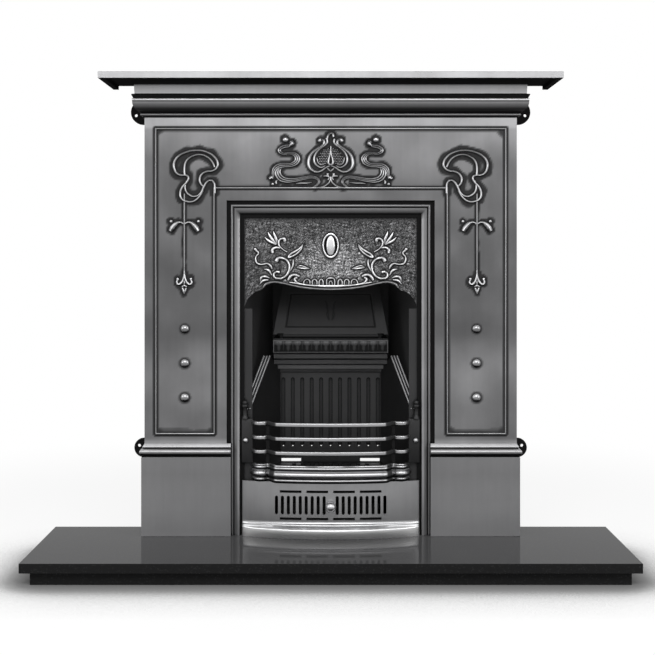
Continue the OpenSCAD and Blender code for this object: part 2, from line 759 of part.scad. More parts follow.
// The line moved sideways to itself
function along(line, i) = let (a = line[max(0, i - 1)], b = line[min(len(line) - 1, i + 1)])
    (b - a) / norm(b - a);
function offset_line(line, o) = [for (i = [0 : len(line) - 1])
    let (t = along(line, i)) line[i] + o * [-t[1], t[0]]];

standard_in = open_hw + 5 - standard_w;
rail_foot = cover_h + lift_gap;
rail_top = rail_foot + rail_h;
standard_top = rail_top + 3 * bar_pitch + 4;
neck_x = standard_in + standard_w - 8;

// Layers of the rail: [lower share, upper share, share of the bulge]
rail_layers = [[0, 0.14, 0.5], [0.14, 0.2, 0], [0.2, 0.27, 0.5], [0.27, 0.52, 1], [0.52, 0.6, 0.5],
    [0.6, 0.69, -0.15], [0.69, 0.83, 0.5], [0.83, 0.88, -0.15], [0.88, 1, 0.15]];

module bar_rail() {
    back = 8;
    color([0.8, 0.8, 0.81]) at_wall() difference() {
        for (l = rail_layers) plan(concat(shifted(bar_line, 0, l[2] * rail_bulge),
            backwards(shifted(bar_line, 0, -back))), rail_foot + l[0] * rail_h, rail_foot + l[1] * rail_h);
        block(-hearth_w, hearth_w, 0, frame_back, 0, shelf_h);
    }
}

post = 9;                                   // the posts stand behind the dips of the bars' line
post_x = open_hw * 0.719 - post / 2;
post_d = lip_face + bar_bow - open_hw * 0.248;

module fire_bars() {
    color([0.8, 0.8, 0.81]) at_wall() intersection() {
        union() {
            for (i = [1 : 3]) plan(concat(offset_line(bar_line, bar_t / 2),
                backwards(offset_line(bar_line, -bar_t / 2))), rail_top + i * bar_pitch - bar_h,
                rail_top + i * bar_pitch);
            mirrored() block(post_x, post_x + post, post_d, post_d + post + 1, rail_top,
                rail_top + 3 * bar_pitch);
        }
        block(-standard_in, standard_in, frame_back, hearth_d, rail_top, shelf_h);
    }
}

module standard() {
    difference() {
        union() {
            block(standard_in, standard_in + standard_w, lip_face, standard_face, rail_top, standard_top);
            block(bolt_x - 6, min(bolt_x + 6, open_hw - lift_gap), frame_back, lip_face + over, bolt_h - 10,
                bolt_h + 10);
            translate([neck_x, -lip_face - standard_t / 2, standard_top - over])
                cylinder(h = over + 6, r = 8);
            translate([neck_x, -lip_face - standard_t / 2, standard_top + 6]) cylinder(h = 22, r = 5.5);
            translate([neck_x, -lip_face - standard_t / 2, standard_top + 28]) cylinder(h = 6, r = 8);
            translate([neck_x, -lip_face - standard_t / 2, standard_top + 32 + finial_r])
                sphere(r = finial_r);
        }
        rod(bolt_x, bolt_h, bolt_r + bolt_gap, frame_back - over, standard_face + over);
        block(open_hw - lift_gap, hearth_w, 0, lip_face, 0, shelf_h);
        block(0, hearth_w, 0, lip_face, standard_top - 2, shelf_h);
    }
}

module left_standard() { color([0.15, 0.15, 0.15]) at_wall() mirror([1, 0, 0]) standard(); }
module right_standard() { color([0.15, 0.15, 0.15]) at_wall() standard(); }

module standard_bolts() {
    color([0.9, 0.9, 0.9]) at_wall() mirrored() {
        rod(bolt_x, bolt_h, bolt_r, frame_back - flange_t + 2, standard_face + 1);
        difference() {
            translate([bolt_x, -standard_face - 2, bolt_h]) sphere(r = 6.5);
            block(0, hearth_w, 0, standard_face, 0, shelf_h);
        }
    }
}

module bottom_grate() {
    low = grate_h - grate_t;
    back_x = cheek_x(fire_d + grate_gap) - grate_gap;
    front_x = cheek_x(cheek_front_d) - grate_gap;
    front_d = cheek_front_d - grate_gap;
    inner = [for (p = bar_line) if (abs(p[0]) < front_x - 14) [p[0], p[1] - 14]];
    color([0.2, 0.2, 0.2]) at_wall() difference() {
        plan(concat([[-front_x + 10, front_d], [-front_x, front_d], [-back_x, fire_d + grate_gap],
            [back_x, fire_d + grate_gap], [front_x, front_d], [front_x - 10, front_d]],
            backwards(inner)), low, grate_h);
        for (i = [-7 : 7]) {
            x = i * grate_pitch;
            if (abs(x) < front_x - 24)
                block(x - grate_slot / 2, x + grate_slot / 2,
                    max(fire_d + 16, fire_d + 16 + (abs(x) + 24 - fb_hw) * 2.1), cheek_front_d + 4,
                    low - over, grate_h + over);
        }
    }
}

// ---------------------------------------------------------------- ash pit

cover_hw = open_hw + 4;
cover_end = lip_face + lift_gap + cover_t;  // face of the cover at its ends
function bow(x) = pow(max(0, 1 - pow(x / cover_hw, 2)), 0.75);
function bow_line(hw, end, depth) = [for (i = [-16 : 16]) let (x = hw * sin(90 * i / 16))
    [x, end + depth * bow(x)]];
function face_d(x) = cover_end + cover_bow * bow(x);

slide_h0 = foot_h + 12;
slide_h1 = cover_h - 16;
slot_mid = (slide_h0 + slide_h1) / 2 - 6;
slide_hw = (slot_n + 0.3) * slot_pitch;
slide_travel = slot_pitch / 2;
guide_t = 2.5;
knob_h = slot_mid - 2;
stem_r = 4;

// A bowed sheet behind the cover's face, from one depth to another
module bowed(hw, near, far, h0, h1) {
    plan(concat(bow_line(hw, cover_end - near, cover_bow), backwards(bow_line(hw, cover_end - far,
        cover_bow))), h0, h1);
}

// One upright slot with round ends
module air_slot(x) {
    r = slot_w / 2;
    block(x - r, x + r, 0, 2 * plate_d, slot_mid - slot_h / 2 + r, slot_mid + slot_h / 2 - r);
    for (s = [-1, 1]) rod(x, slot_mid + s * (slot_h / 2 - r), r, 0, 2 * plate_d);
}

module air_slots() {
    for (i = [0 : slot_n - 1]) mirrored() air_slot((i + 1.1) * slot_pitch);
}

module ash_cover() {
    steps = 5;
    slope_h = foot_h * 0.4;
    long_slot = 52;
    long_slot_h = 6;
    web = 10;
    color([0.65, 0.65, 0.66]) at_wall() difference() {
        union() {
            bowed(cover_hw, 0, cover_t, 0, cover_h);
            plan(concat(bow_line(cover_hw, cover_end + 4, cover_bow + foot_out - 4),
                backwards(bow_line(cover_hw, cover_end - 1, cover_bow))), 0, foot_h - slope_h);
            for (i = [0 : steps - 1]) plan(concat(bow_line(cover_hw, cover_end + 4 * (1 - i / steps),
                cover_bow + (foot_out - 4) * pow(1 - i / steps, 1.2)), backwards(bow_line(cover_hw,
                cover_end - 1, cover_bow))), foot_h - slope_h * (1 - i / steps) - 0.01,
                foot_h - slope_h * (1 - (i + 1) / steps));
        }
        air_slots();
        mirrored() for (x = [32, 96], side = [-1, 1]) {
            h = slot_mid + side * (slot_h / 2 + web);
            block(x - long_slot / 2, x + long_slot / 2, 0, 2 * plate_d, h - long_slot_h / 2,
                h + long_slot_h / 2);
        }
        block(-stem_r - lift_gap, stem_r + lift_gap + slide_travel, 0, 2 * plate_d,
            knob_h - stem_r - lift_gap, knob_h + stem_r + lift_gap);
    }
}

module slide_guides() {
    near = cover_t + 0.1;                   // clear of the cover's curved back
    far = cover_t + 2 * slide_gap + slide_t + guide_t;
    overlap = 5;
    x = slide_hw + 12;
    color([0.4, 0.4, 0.4]) at_wall() {
        bowed(x, near, far, slide_h1 + lift_gap, slide_h1 + 7);
        bowed(x, far - guide_t, far, slide_h1 - overlap, slide_h1 + 1);
        bowed(x, near, far, slide_h0 - 7, slide_h0 - lift_gap);
        bowed(x, far - guide_t, far, slide_h0 - 1, slide_h0 + overlap);
    }
}

module air_slide() {
    color([0.5, 0.5, 0.5]) at_wall() difference() {
        bowed(slide_hw, cover_t + slide_gap, cover_t + slide_gap + slide_t, slide_h0, slide_h1);
        air_slots();
    }
}

module air_knob() {
    start = cover_end + cover_bow - cover_t - slide_gap;
    centre = cover_end + cover_bow + lift_gap + knob_r * 0.8;
    color([0.9, 0.9, 0.9]) at_wall() {
        rod(0, knob_h, stem_r, start + 0.05, centre);
        difference() {
            translate([0, -centre, knob_h]) sphere(r = knob_r);
            block(-knob_r, knob_r, 0, cover_end + cover_bow + lift_gap, knob_h - knob_r, knob_h + knob_r);
        }
    }
}

pan_back = fire_d + 8;
pan_front = cheek_front_d - 14;

module ash_pan() {
    x = pan_w / 2;
    color([0.35, 0.35, 0.36]) at_wall() difference() {
        block(-x, x, pan_back, pan_front, 0, pan_h);
        block(pan_t - x, x - pan_t, pan_back + pan_t, pan_front - pan_t, pan_t, pan_h + over);
    }
}

module pan_handle() {
    ring = 18;
    wire = 2.5;
    plate = 2;
    color([0.6, 0.6, 0.6]) at_wall() translate([0, -pan_front, pan_h * 0.6]) {
        translate([-ring - 8, -plate, -8]) cube([2 * ring + 16, plate, 16]);
        intersection() {
            translate([0, -plate, 0]) rotate_extrude() translate([ring, 0]) circle(r = wire, $fn = 24);
            translate([-2 * ring, -plate - 2 * ring, -wire]) cube([4 * ring, 2 * ring, 2 * wire]);
        }
    }
}

hearth_slab();
hearth_base();
left_plinth();
right_plinth();
front_plate();
cornice();
mantel_shelf();
shelf_bolts();
panel_ridges();
panel_studs();
insert_frame();
insert_bolts();
canopy();
canopy_boss();
canopy_nuts();
left_wall();
right_wall();
smoke_back();
smoke_bolts();
fireback();
fireback_cap();
left_cheek();
right_cheek();
damper_flap();
damper_pin();
bottom_grate();
bar_rail();
fire_bars();
left_standard();
right_standard();
standard_bolts();
ash_cover();
slide_guides();
air_slide();
air_knob();
ash_pan();
pan_handle();
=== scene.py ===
import json
from math import asin, cos, hypot, pi, radians, sin

import bmesh
import bpy
from mathutils import Matrix, Vector, noise
from mathutils.kdtree import KDTree


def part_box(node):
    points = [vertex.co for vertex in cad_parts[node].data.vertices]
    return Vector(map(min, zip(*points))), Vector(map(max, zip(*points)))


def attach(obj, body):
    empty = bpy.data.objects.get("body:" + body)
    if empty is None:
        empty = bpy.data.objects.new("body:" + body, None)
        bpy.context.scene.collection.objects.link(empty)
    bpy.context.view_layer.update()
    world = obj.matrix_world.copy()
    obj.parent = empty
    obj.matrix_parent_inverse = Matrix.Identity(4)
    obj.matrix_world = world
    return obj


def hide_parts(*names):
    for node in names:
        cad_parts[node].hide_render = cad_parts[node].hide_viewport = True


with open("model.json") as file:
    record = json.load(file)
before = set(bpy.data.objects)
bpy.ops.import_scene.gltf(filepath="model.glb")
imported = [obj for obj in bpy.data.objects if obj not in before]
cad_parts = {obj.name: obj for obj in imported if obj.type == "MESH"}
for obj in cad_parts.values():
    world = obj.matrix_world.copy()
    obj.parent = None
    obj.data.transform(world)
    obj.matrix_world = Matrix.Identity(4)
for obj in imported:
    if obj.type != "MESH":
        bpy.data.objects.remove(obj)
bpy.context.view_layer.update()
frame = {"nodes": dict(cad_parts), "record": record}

# ---------------------------------------------------------------- camera
# The camera stands level, a little over half way up the surround, and looks straight at the wall.
# The frame is shifted down, as in a photograph whose verticals stay parallel.

MM = 0.001
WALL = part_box("hearth_slab")[1].y
HEARTH_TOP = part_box("hearth_slab")[1].z
FRAME_PIXELS, FOCAL_PIXELS, SENSOR = 655, 1279, 36
HORIZON = (329.0, 252.0)                    # where level lines that run into the wall meet, in pixels
CAMERA_PLACE = (-4, 3189, 684.5)            # across, out from the wall and above the hearth


def at(x, d, h):
    """A point x across, d out from the wall and h above the hearth, in millimetres."""
    return Vector((x * MM, WALL - d * MM, HEARTH_TOP + h * MM))


def placed(name, data):
    """A new object in the scene."""
    made = bpy.data.objects.new(name, data)
    bpy.context.collection.objects.link(made)
    return made


lens = bpy.data.cameras.new("camera")
lens.sensor_width = SENSOR
lens.lens = SENSOR * FOCAL_PIXELS / FRAME_PIXELS
lens.shift_x = (FRAME_PIXELS / 2 - HORIZON[0]) / FRAME_PIXELS
lens.shift_y = (HORIZON[1] - FRAME_PIXELS / 2) / FRAME_PIXELS
camera = placed("camera", lens)
camera.location = at(*CAMERA_PLACE)
camera.rotation_euler = (pi / 2, 0, 0)
bpy.context.scene.camera = camera
bpy.context.scene.view_settings.view_transform = "Standard"

# ---------------------------------------------------------------- studio
# A pale floor that runs out of sight, a white surround, a wide soft lamp over the camera
# and a weaker one at each side.


class Wire:
    """A socket in a material. Sums on it add Math nodes, and node() adds any other node."""

    def __init__(self, tree, socket=None):
        self.tree, self.socket = tree, socket

    def node(self, kind, settings=None, sockets=None, out=0):
        made = self.tree.nodes.new("ShaderNode" + kind)
        for name, value in (settings or {}).items():
            setattr(made, name, value)
        for name, value in (sockets or {}).items():
            if isinstance(value, Wire):
                self.tree.links.new(value.socket, made.inputs[name])
            else:
                made.inputs[name].default_value = value
        return Wire(self.tree, made.outputs[out])

    def maths(self, operation, *values):
        return self.node("Math", {"operation": operation}, dict(enumerate(values)))

    def step(self, low, high):
        """0 below low, 1 above high, and smooth between."""
        return self.node("MapRange", {"interpolation_type": "SMOOTHSTEP"},
                         {"Value": self, "From Min": low, "From Max": high})

    def blend(self, one, other):
        """The first colour where this is 0, and the other where it is 1."""
        return self.node("Mix", {"data_type": "RGBA"}, {0: self, 6: one, 7: other}, out=2)

    def to(self, socket):
        self.tree.links.new(self.socket, socket)

    def __add__(self, other): return self.maths("ADD", self, other)
    def __mul__(self, other): return self.maths("MULTIPLY", self, other)
    def __sub__(self, other): return self.maths("SUBTRACT", self, other)
    def __rsub__(self, other): return self.maths("SUBTRACT", other, self)
    __radd__, __rmul__ = __add__, __mul__


SKY_LEVEL = 0.55                            # what the white surround gives to matt surfaces

world = bpy.data.worlds.new("studio")
world.use_nodes = True
bpy.context.scene.world = world
backdrop = world.node_tree.nodes["Background"]
backdrop.inputs["Color"].default_value = (1, 1, 1, 1)
sky = Wire(world.node_tree)
seen = sky.node("LightPath").maths("MAXIMUM", sky.node("LightPath"), sky.node("LightPath", out=3))
seen = seen.maths("MAXIMUM", seen, sky.node("LightPath", out=6))
(SKY_LEVEL + (1 - SKY_LEVEL) * seen).to(backdrop.inputs["Strength"])

FLOOR_COLOUR, FLOOR_SEEN, FLOOR_GLOW = 0.85, 0.3, 0.74
FLOOR_HALF, FLOOR_FADE = 30, (1.1, 2.2)     # its half width, and where it fades into the surround
SHADE_REACH, SHADE_DEPTH = 0.25, 11.0       # the soft shade round the hearth, in metres, and its power

floor_paint = bpy.data.materials.new("floor")
floor_paint.use_nodes = True
tree = floor_paint.node_tree
tree.nodes.remove(tree.nodes["Principled BSDF"])
paint = Wire(tree)
camera_ray = paint.node("LightPath")
shade = paint.node("AmbientOcclusion", {"samples": 8}, {"Distance": SHADE_REACH}, out=1)
away = paint.node("VectorMath", {"operation": "LENGTH"}, {0: paint.node("TexCoord", out=3)}, out=1)
tone = FLOOR_COLOUR - (FLOOR_COLOUR - FLOOR_SEEN) * camera_ray
tone = paint.node("CombineColor", sockets={0: tone, 1: tone, 2: tone})
matt = paint.node("BsdfDiffuse", sockets={"Color": tone})
dimmed = shade.maths("POWER", shade, SHADE_DEPTH)
glow = paint.node("Emission", sockets={"Strength": FLOOR_GLOW * camera_ray * dimmed})
near = paint.node("AddShader", sockets={0: matt, 1: glow})
far = paint.node("Emission", sockets={"Strength": SKY_LEVEL + (1 - SKY_LEVEL) * camera_ray})
paint.node("MixShader", sockets={0: away.step(*FLOOR_FADE), 1: near, 2: far}) \
    .to(tree.nodes["Material Output"].inputs["Surface"])


def mesh_of(name, bm):
    """A mesh with all that a bmesh holds, which is used up."""
    mesh = bpy.data.meshes.new(name)
    bm.to_mesh(mesh)
    bm.free()
    return mesh


bm = bmesh.new()
bmesh.ops.create_grid(bm, x_segments=1, y_segments=1, size=FLOOR_HALF)
mesh = mesh_of("floor", bm)
mesh.materials.append(floor_paint)
placed("floor", mesh)

# place, width, height and power of each lamp
LAMPS = {"key": ((0.0, -2.9, 2.5), 2.6, 1.3, 46), "left": ((-2.6, -1.8, 1.5), 1.0, 1.8, 16),
         "right": ((2.6, -1.8, 1.5), 1.0, 1.8, 20)}
TARGET = Vector((0, 0, 0.6))

for name, (place, width, height, power) in LAMPS.items():
    lamp = bpy.data.lights.new(name, "AREA")
    lamp.shape, lamp.size, lamp.size_y, lamp.energy = "RECTANGLE", width, height, power
    holder = placed(name, lamp)
    holder.location = place
    holder.rotation_euler = (TARGET - Vector(place)).to_track_quat("-Z", "Y").to_euler()

# ---------------------------------------------------------------- hearth
# Two polished slabs of black stone, the upper one standing out over the lower.
# Their edges have a fine ground arris, and their tops are painted lighter than their sides, a painted
# reflection.


def grey(level):
    return (level, level, level * 1.02, 1.0)


def finish(name, roughness=0.5, metallic=0.0):
    """A new material's Principled shader and a Wire to build its nodes with."""
    material = bpy.data.materials.new(name)
    material.use_nodes = True
    shader = material.node_tree.nodes["Principled BSDF"]
    shader.inputs["Roughness"].default_value = roughness
    shader.inputs["Metallic"].default_value = metallic
    return material, shader.inputs, Wire(material.node_tree)


MERGED, CORNER, CREASE = 0.01, 35, 45       # how near points are one, and angles rounded or kept sharp


def rounded(bm, edges, size):
    """Rounds some edges."""
    bmesh.ops.bevel(bm, geom=edges, offset=size * MM, offset_type="OFFSET", segments=2,
                    profile=0.5, affect="EDGES", clamp_overlap=True, material=-1)


def piece(name, bm, material, stands_for=(), body="surround", edge=0.0):
    """Makes a piece of a bmesh: merged, turned outwards, its corners rounded, and set on its body."""
    bmesh.ops.remove_doubles(bm, verts=bm.verts, dist=MERGED * MM)
    bmesh.ops.recalc_face_normals(bm, faces=bm.faces)
    if edge:
        rounded(bm, [e for e in bm.edges if e.is_manifold and e.calc_face_angle() > radians(CORNER)], edge)
    mesh = mesh_of(name, bm)
    mesh.materials.append(material)
    mesh.shade_smooth()
    mesh.set_sharp_from_angle(angle=radians(CREASE))
    made = placed(name, mesh)
    if edge:
        made.modifiers.new("flat faces", "WEIGHTED_NORMAL").keep_sharp = True
    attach(made, body)
    if stands_for:
        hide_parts(*stands_for)


def box(bm, low, high):
    """A box between two corners."""
    made = bmesh.ops.create_cube(bm, size=1)["verts"]
    bmesh.ops.scale(bm, verts=made, vec=high - low)
    bmesh.ops.translate(bm, verts=made, vec=(low + high) / 2)
    return made


def granite():
    material, shader, stone = finish("black granite", roughness=0.1)
    spot = stone.node("TexCoord", out=3)
    cloud = stone.node("TexNoise", sockets={"Vector": spot, "Scale": 14, "Detail": 3})
    crystals = stone.node("TexVoronoi", sockets={"Vector": spot, "Scale": 420}, out=1)
    fleck = stone.node("SeparateColor", sockets={0: crystals}).step(0.86, 0.98)
    # the tops are painted lighter than the sides, a painted reflection
    painted_top_light = stone.node("SeparateXYZ", sockets={0: stone.node("TexCoord", out=1)}, out=2).step(0.5, 0.9)
    edge = fleck.blend(grey(0.014), grey(0.024))
    top = fleck.blend(grey(0.07), grey(0.08))
    painted_top_light.blend(edge, top).to(shader["Base Color"])
    (0.03 + 0.05 * cloud).to(shader["Roughness"])
    shader["IOR"].default_value = 1.07
    return material


SLAB_EDGE = 1.2
stone = granite()
for name in ("hearth_slab", "hearth_base"):
    bm = bmesh.new()
    box(bm, *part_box(name))
    piece("polished_" + name, bm, stone, (name,), edge=SLAB_EDGE)

# ---------------------------------------------------------------- plinths
# Hollow cast blocks under the front plate, each with a torus moulding on its front and outer side
# and a round wall lug beside the moulding.


def iron(name, face, hollow, gloss, reach=12.0, grain=0.25, worn=(0.35, 0.85), underside_shade=0.14, ledge_light=1.1,
         clouds=0.62, black_above=None):
    """Cast iron that has been ground and burnished: bright where the wheel reaches, dark in hollows.

    face and hollow are grey levels, gloss the roughness, and reach how near a wall shuts a hollow in.
    Undersides are painted darker and upward faces lighter, as painted shade and light, by the underside and
    ledge shares.
    A vertex value is 1 for black lead and painted shade, and below 0 for polish and painted light, which
    brighten the face.
    clouds says how much the grey varies over a face. Above the height black_above, all is black.
    """
    material, shader, cast = finish(name, gloss, 1.0)
    spot = cast.node("TexCoord", out=3)
    cloud = cast.node("TexNoise", sockets={"Vector": spot, "Scale": 6, "Detail": 4, "Roughness": 0.55})
    smear = cast.node("Mapping", sockets={"Vector": spot, "Scale": (60, 60, 5)})
    rubbed = cast.node("TexNoise", sockets={"Vector": smear, "Scale": 1.6, "Detail": 4})
    open_air = cast.node("AmbientOcclusion", {"samples": 6}, {"Distance": reach * MM}, out=1)
    lead_and_painted_light = cast.node("Attribute", {"attribute_name": "lead_and_painted_light"}, out=2)
    polish_and_painted_light = lead_and_painted_light.maths("MINIMUM", lead_and_painted_light, 0.0)
    bare = (open_air - 0.6 * polish_and_painted_light).step(*worn) * (1 - lead_and_painted_light.maths("MAXIMUM", lead_and_painted_light, 0.0))
    if black_above:
        limit = at(0, 0, black_above).z
        bare = bare * (1 - cast.node("SeparateXYZ", sockets={0: spot}, out=2).step(limit, limit + MM))
    upward = cast.node("SeparateXYZ", sockets={0: cast.node("TexCoord", out=1)}, out=2)
    level = (0.89 + clouds * (cloud - 0.5) + 0.12 * rubbed) * (1 - 1.8 * polish_and_painted_light)
    # painted shade on faces that point down, and painted light on faces that point up
    level = level * (underside_shade + (1 - underside_shade) * upward.step(-0.65, -0.02) + ledge_light * upward.step(0.1, 0.85))
    shade = cast.node("CombineColor", sockets={0: level, 1: level, 2: level})
    lit = cast.node("Mix", {"data_type": "RGBA", "blend_type": "MULTIPLY", "clamp_result": True},
                    {0: 1.0, 6: grey(face), 7: shade}, out=2)
    bare.blend(grey(hollow), lit).to(shader["Base Color"])
    (gloss + 0.26 * clouds * (cloud - 0.5) + 0.18 * (1 - bare)).to(shader["Roughness"])
    bare.to(shader["Metallic"])
    shader["Specular IOR Level"].default_value = 0.0
    sand = cast.node("TexNoise", sockets={"Vector": spot, "Scale": 650, "Detail": 3})
    cast.node("Bump", sockets={"Strength": grain, "Distance": 0.2 * MM, "Height": sand}) \
        .to(shader["Normal"])
    return material


def block(bm, x0, x1, d0, d1, h0, h1):
    """A box between two limits across, out from the wall and up."""
    return box(bm, at(x0, d1, h0), at(x1, d0, h1))


def layer(bm, name):
    """A value that each vertex carries."""
    layers = bm.verts.layers.float
    return layers.get(name) or layers.new(name)


def blacken(bm, verts, value=1.0):
    """Sets the black lead and painted light value of some vertices."""
    lead_and_painted_light = layer(bm, "lead_and_painted_light")
    for v in verts:
        v[lead_and_painted_light] = value


def extruded(bm, geom):
    """Pulls faces out of where they lie. Gives the new vertices and one of the new faces."""
    grown = bmesh.ops.extrude_face_region(bm, geom=geom)["geom"]
    return ([g for g in grown if isinstance(g, bmesh.types.BMVert)],
            next(g for g in grown if isinstance(g, bmesh.types.BMFace)))


def pulled(bm, outline, places, place):
    """Runs a closed outline through places, and place() lays each new ring of vertices out.

    The outline's points are (out, up) or (out, up, black lead and painted light), and every vertex carries
    its own.
    """
    for name in ("out", "up", "lead_and_painted_light"):
        layer(bm, name)
    out, up, lead_and_painted_light = (layer(bm, name) for name in ("out", "up", "lead_and_painted_light"))
    ring = [bm.verts.new() for _ in outline]
    for v, point in zip(ring, outline):
        v[out], v[up], v[lead_and_painted_light] = (*point, 0.0)[:3]
    place(ring, places[0], out, up)
    end = bm.faces.new(ring)
    for here in places[1:]:
        ring, end = extruded(bm, [end] + end.edges[:])
        place(ring, here, out, up)


def sweep(bm, outline, path, lay=at):
    """Runs a closed outline along a mitred path. Out lies left of the path."""

    def place(verts, i, out, up):
        here = Vector(path[i])
        lines = [here - Vector(path[i - 1])] if i else []
        lines += [Vector(path[i + 1]) - here] if i + 1 < len(path) else []
        sides = [Vector((-t.y, t.x)).normalized() for t in lines]
        mitre = (sides[0] + sides[-1]) / (1 + sides[0].dot(sides[-1]))
        for v in verts:
            spot = here + mitre * v[out]
            v.co = lay(spot.x, spot.y, v[up])

    pulled(bm, outline, range(len(path)), place)


def arc(x, y, r, start, stop, steps):
    """Points on an arc, from one angle in degrees to another."""
    turns = [radians(start + (stop - start) * i / steps) for i in range(steps + 1)]
    return [(x + r * cos(t), y + r * sin(t)) for t in turns]


def everything(bm):
    return bm.verts[:] + bm.edges[:] + bm.faces[:]


def mirrored(bm):
    """Adds the mirror image of a mesh across the middle."""
    twin = bmesh.ops.duplicate(bm, geom=everything(bm))["geom"]
    verts = [g for g in twin if isinstance(g, bmesh.types.BMVert)]
    bmesh.ops.scale(bm, verts=verts, vec=(-1, 1, 1))
    bmesh.ops.reverse_faces(bm, faces=[g for g in twin if isinstance(g, bmesh.types.BMFace)])


def washer(bm, circles, turn, segments):
    """A flat face between two circles, (centre, radius). Gives its vertices, edges and faces."""
    rings = []
    for centre, r in circles:
        ring = bmesh.ops.create_circle(bm, segments=segments, radius=r * MM)["verts"]
        bmesh.ops.rotate(bm, verts=ring, cent=(0, 0, 0), matrix=turn)
        bmesh.ops.translate(bm, verts=ring, vec=centre)
        rings += ring
    edges = list({e for v in rings for e in v.link_edges})
    return rings, edges, bmesh.ops.bridge_loops(bm, edges=edges)["faces"]


TIP_FORWARD = Matrix.Rotation(pi / 2, 3, "X")
HOLE_R, LUG_T = 3.75, 6


def lug(bm, hole, centre, radius, cut, side=1):
    """A black round wall lug with a screw hole, cut off where it meets the casting's side."""
    (x, h), (hole_x, hole_h) = centre, hole
    circles = (at(side * x, 0, h), radius), (at(side * hole_x, 0, hole_h), HOLE_R)
    rings, edges, faces = washer(bm, circles, TIP_FORWARD, 48)
    geom = rings + edges + faces + [e for f in faces for e in f.edges]
    kept = bmesh.ops.bisect_plane(bm, geom=list(set(geom)), plane_co=at(side * cut, 0, 0),
                                  plane_no=(side, 0, 0), clear_inner=True)["geom"]
    faces = [g for g in kept if isinstance(g, bmesh.types.BMFace)]
    front, _ = extruded(bm, faces)
    bmesh.ops.translate(bm, verts=front, vec=(0, -LUG_T * MM, 0))
    blacken(bm, front + [v for f in faces for v in f.verts])


front_iron = iron("burnished cast iron", 0.23, 0.012, 0.37, clouds=0.25)
PLINTH_IN, PLINTH_OUT, PLINTH_D, PLINTH_H, PLATE_FOOT = 240.5, 456, 112, 191, 223
PLINTH_T, WEB_T = 12, 8                     # its walls, and the thinner ones behind and on top
LOWER_LUG = (476, 203), (464.5, 197.9), 24  # hole, centre, radius
# out of the block, above it, black lead and painted light
TORUS = ([(0, -1.5, 0), (-1, 0, 1), (-4, 0.4, 1), (-4, 2.4, 1)]
         + [(x, h, 0) for x, h in arc(-3.6, 11.2, 8.1, -64, 60, 12)]
         + [(-4, 20, 1), (-4, 22, 1), (-2.5, 22.6, 0), (-2.5, 24.4, 0), (-7, 31.5, 0.1), (-8, 32, 0)])

bm = bmesh.new()
# the block's front is painted lighter towards its foot, a painted light
sweep(bm, [(-PLINTH_T, PLATE_FOOT, 1), (-PLINTH_T, 0, 1), (0, 0, -0.45), (0, 90, -0.12), (0, 150, 0)]
      + [(out, PLINTH_H + up, dark) for out, up, dark in TORUS],
      [(PLINTH_IN, PLINTH_D), (PLINTH_OUT, PLINTH_D), (PLINTH_OUT, 0)])
inside = PLINTH_T - 1                       # the inner walls reach into the outer ones
inner = block(bm, PLINTH_IN + 0.1, PLINTH_IN + WEB_T, 0.1, PLINTH_D - inside, 0.1, PLATE_FOOT - 0.1)
inner += block(bm, PLINTH_IN + WEB_T - 1, PLINTH_OUT - inside, 0.2, PLINTH_D - inside + 0.1,
               PLATE_FOOT - WEB_T, PLATE_FOOT - 0.2)
blacken(bm, inner)
lug(bm, *LOWER_LUG, PLINTH_OUT - 4)
left = bm.copy()
bmesh.ops.scale(left, verts=left.verts, vec=(-1, 1, 1))
piece("moulded_right_plinth", bm, front_iron, ("right_plinth",), edge=0.5)
piece("moulded_left_plinth", left, front_iron, ("left_plinth",), edge=0.5)

# ---------------------------------------------------------------- front plate ornament
# Whiplash knots, hanging drops and the crest are cast in relief on the plate, so they are tubes
# and beads that stand half sunk in its face. They come before the plate, whose patina lies round them.

PLATE_D, PLATE_HW, PLATE_TOP, APERTURE_HW, APERTURE_H = 104, 449, 1098, 251, 809


def smooth(low, high, value):
    """1 below low, 0 above high, and smooth between."""
    t = min(1, max(0, (high - value) / (high - low)))
    return t * t * (3 - 2 * t)


def solved(holder):
    """A bmesh of an object's shape after its curves or modifiers."""
    bpy.context.view_layer.update()
    mesh = bpy.data.meshes.new_from_object(holder.evaluated_get(bpy.context.evaluated_depsgraph_get()))
    bm = bmesh.new()
    bm.from_mesh(mesh)
    bpy.data.meshes.remove(mesh)
    return bm


FOOT_DARK, TOP_BRIGHT, BEAD_POLISH = (0.4, 1.0), (1.1, 2.4), -0.4


def along(values, share):
    """The value a share of the way along some values."""
    spot = share * (len(values) - 1)
    low = min(int(spot), len(values) - 2)
    return values[low] + (values[low + 1] - values[low]) * (spot - low)


def strands(lines, lift=0.0, depth=PLATE_D, flat=1.1):
    """Tubes through (x, h) points, black at their feet. A line is (points, radii along it)."""
    curve = bpy.data.curves.new("strands", "CURVE")
    curve.dimensions, curve.resolution_u = "3D", 4
    curve.bevel_depth, curve.bevel_resolution, curve.use_fill_caps = MM, 2, True
    for points, radii in lines:
        spline = curve.splines.new("BEZIER")
        spline.bezier_points.add(len(points) - 1)
        for i, (knot, (x, h)) in enumerate(zip(spline.bezier_points, points)):
            knot.co = at(x, depth + lift, h)
            knot.handle_left_type = knot.handle_right_type = "AUTO"
            knot.radius = along(radii, i / (len(points) - 1))
    holder = placed("strands", curve)
    bm = solved(holder)
    plane, lead_and_painted_light = at(0, depth + lift, 0).y, layer(bm, "lead_and_painted_light")
    for v in bm.verts:
        v.co.y = plane + (v.co.y - plane) * flat
        rise = (plane - v.co.y) / MM
        v[lead_and_painted_light] = smooth(*FOOT_DARK, rise) - 0.45 * (1 - smooth(*TOP_BRIGHT, rise))
    bpy.data.objects.remove(holder)
    bpy.data.curves.remove(curve)
    return bm


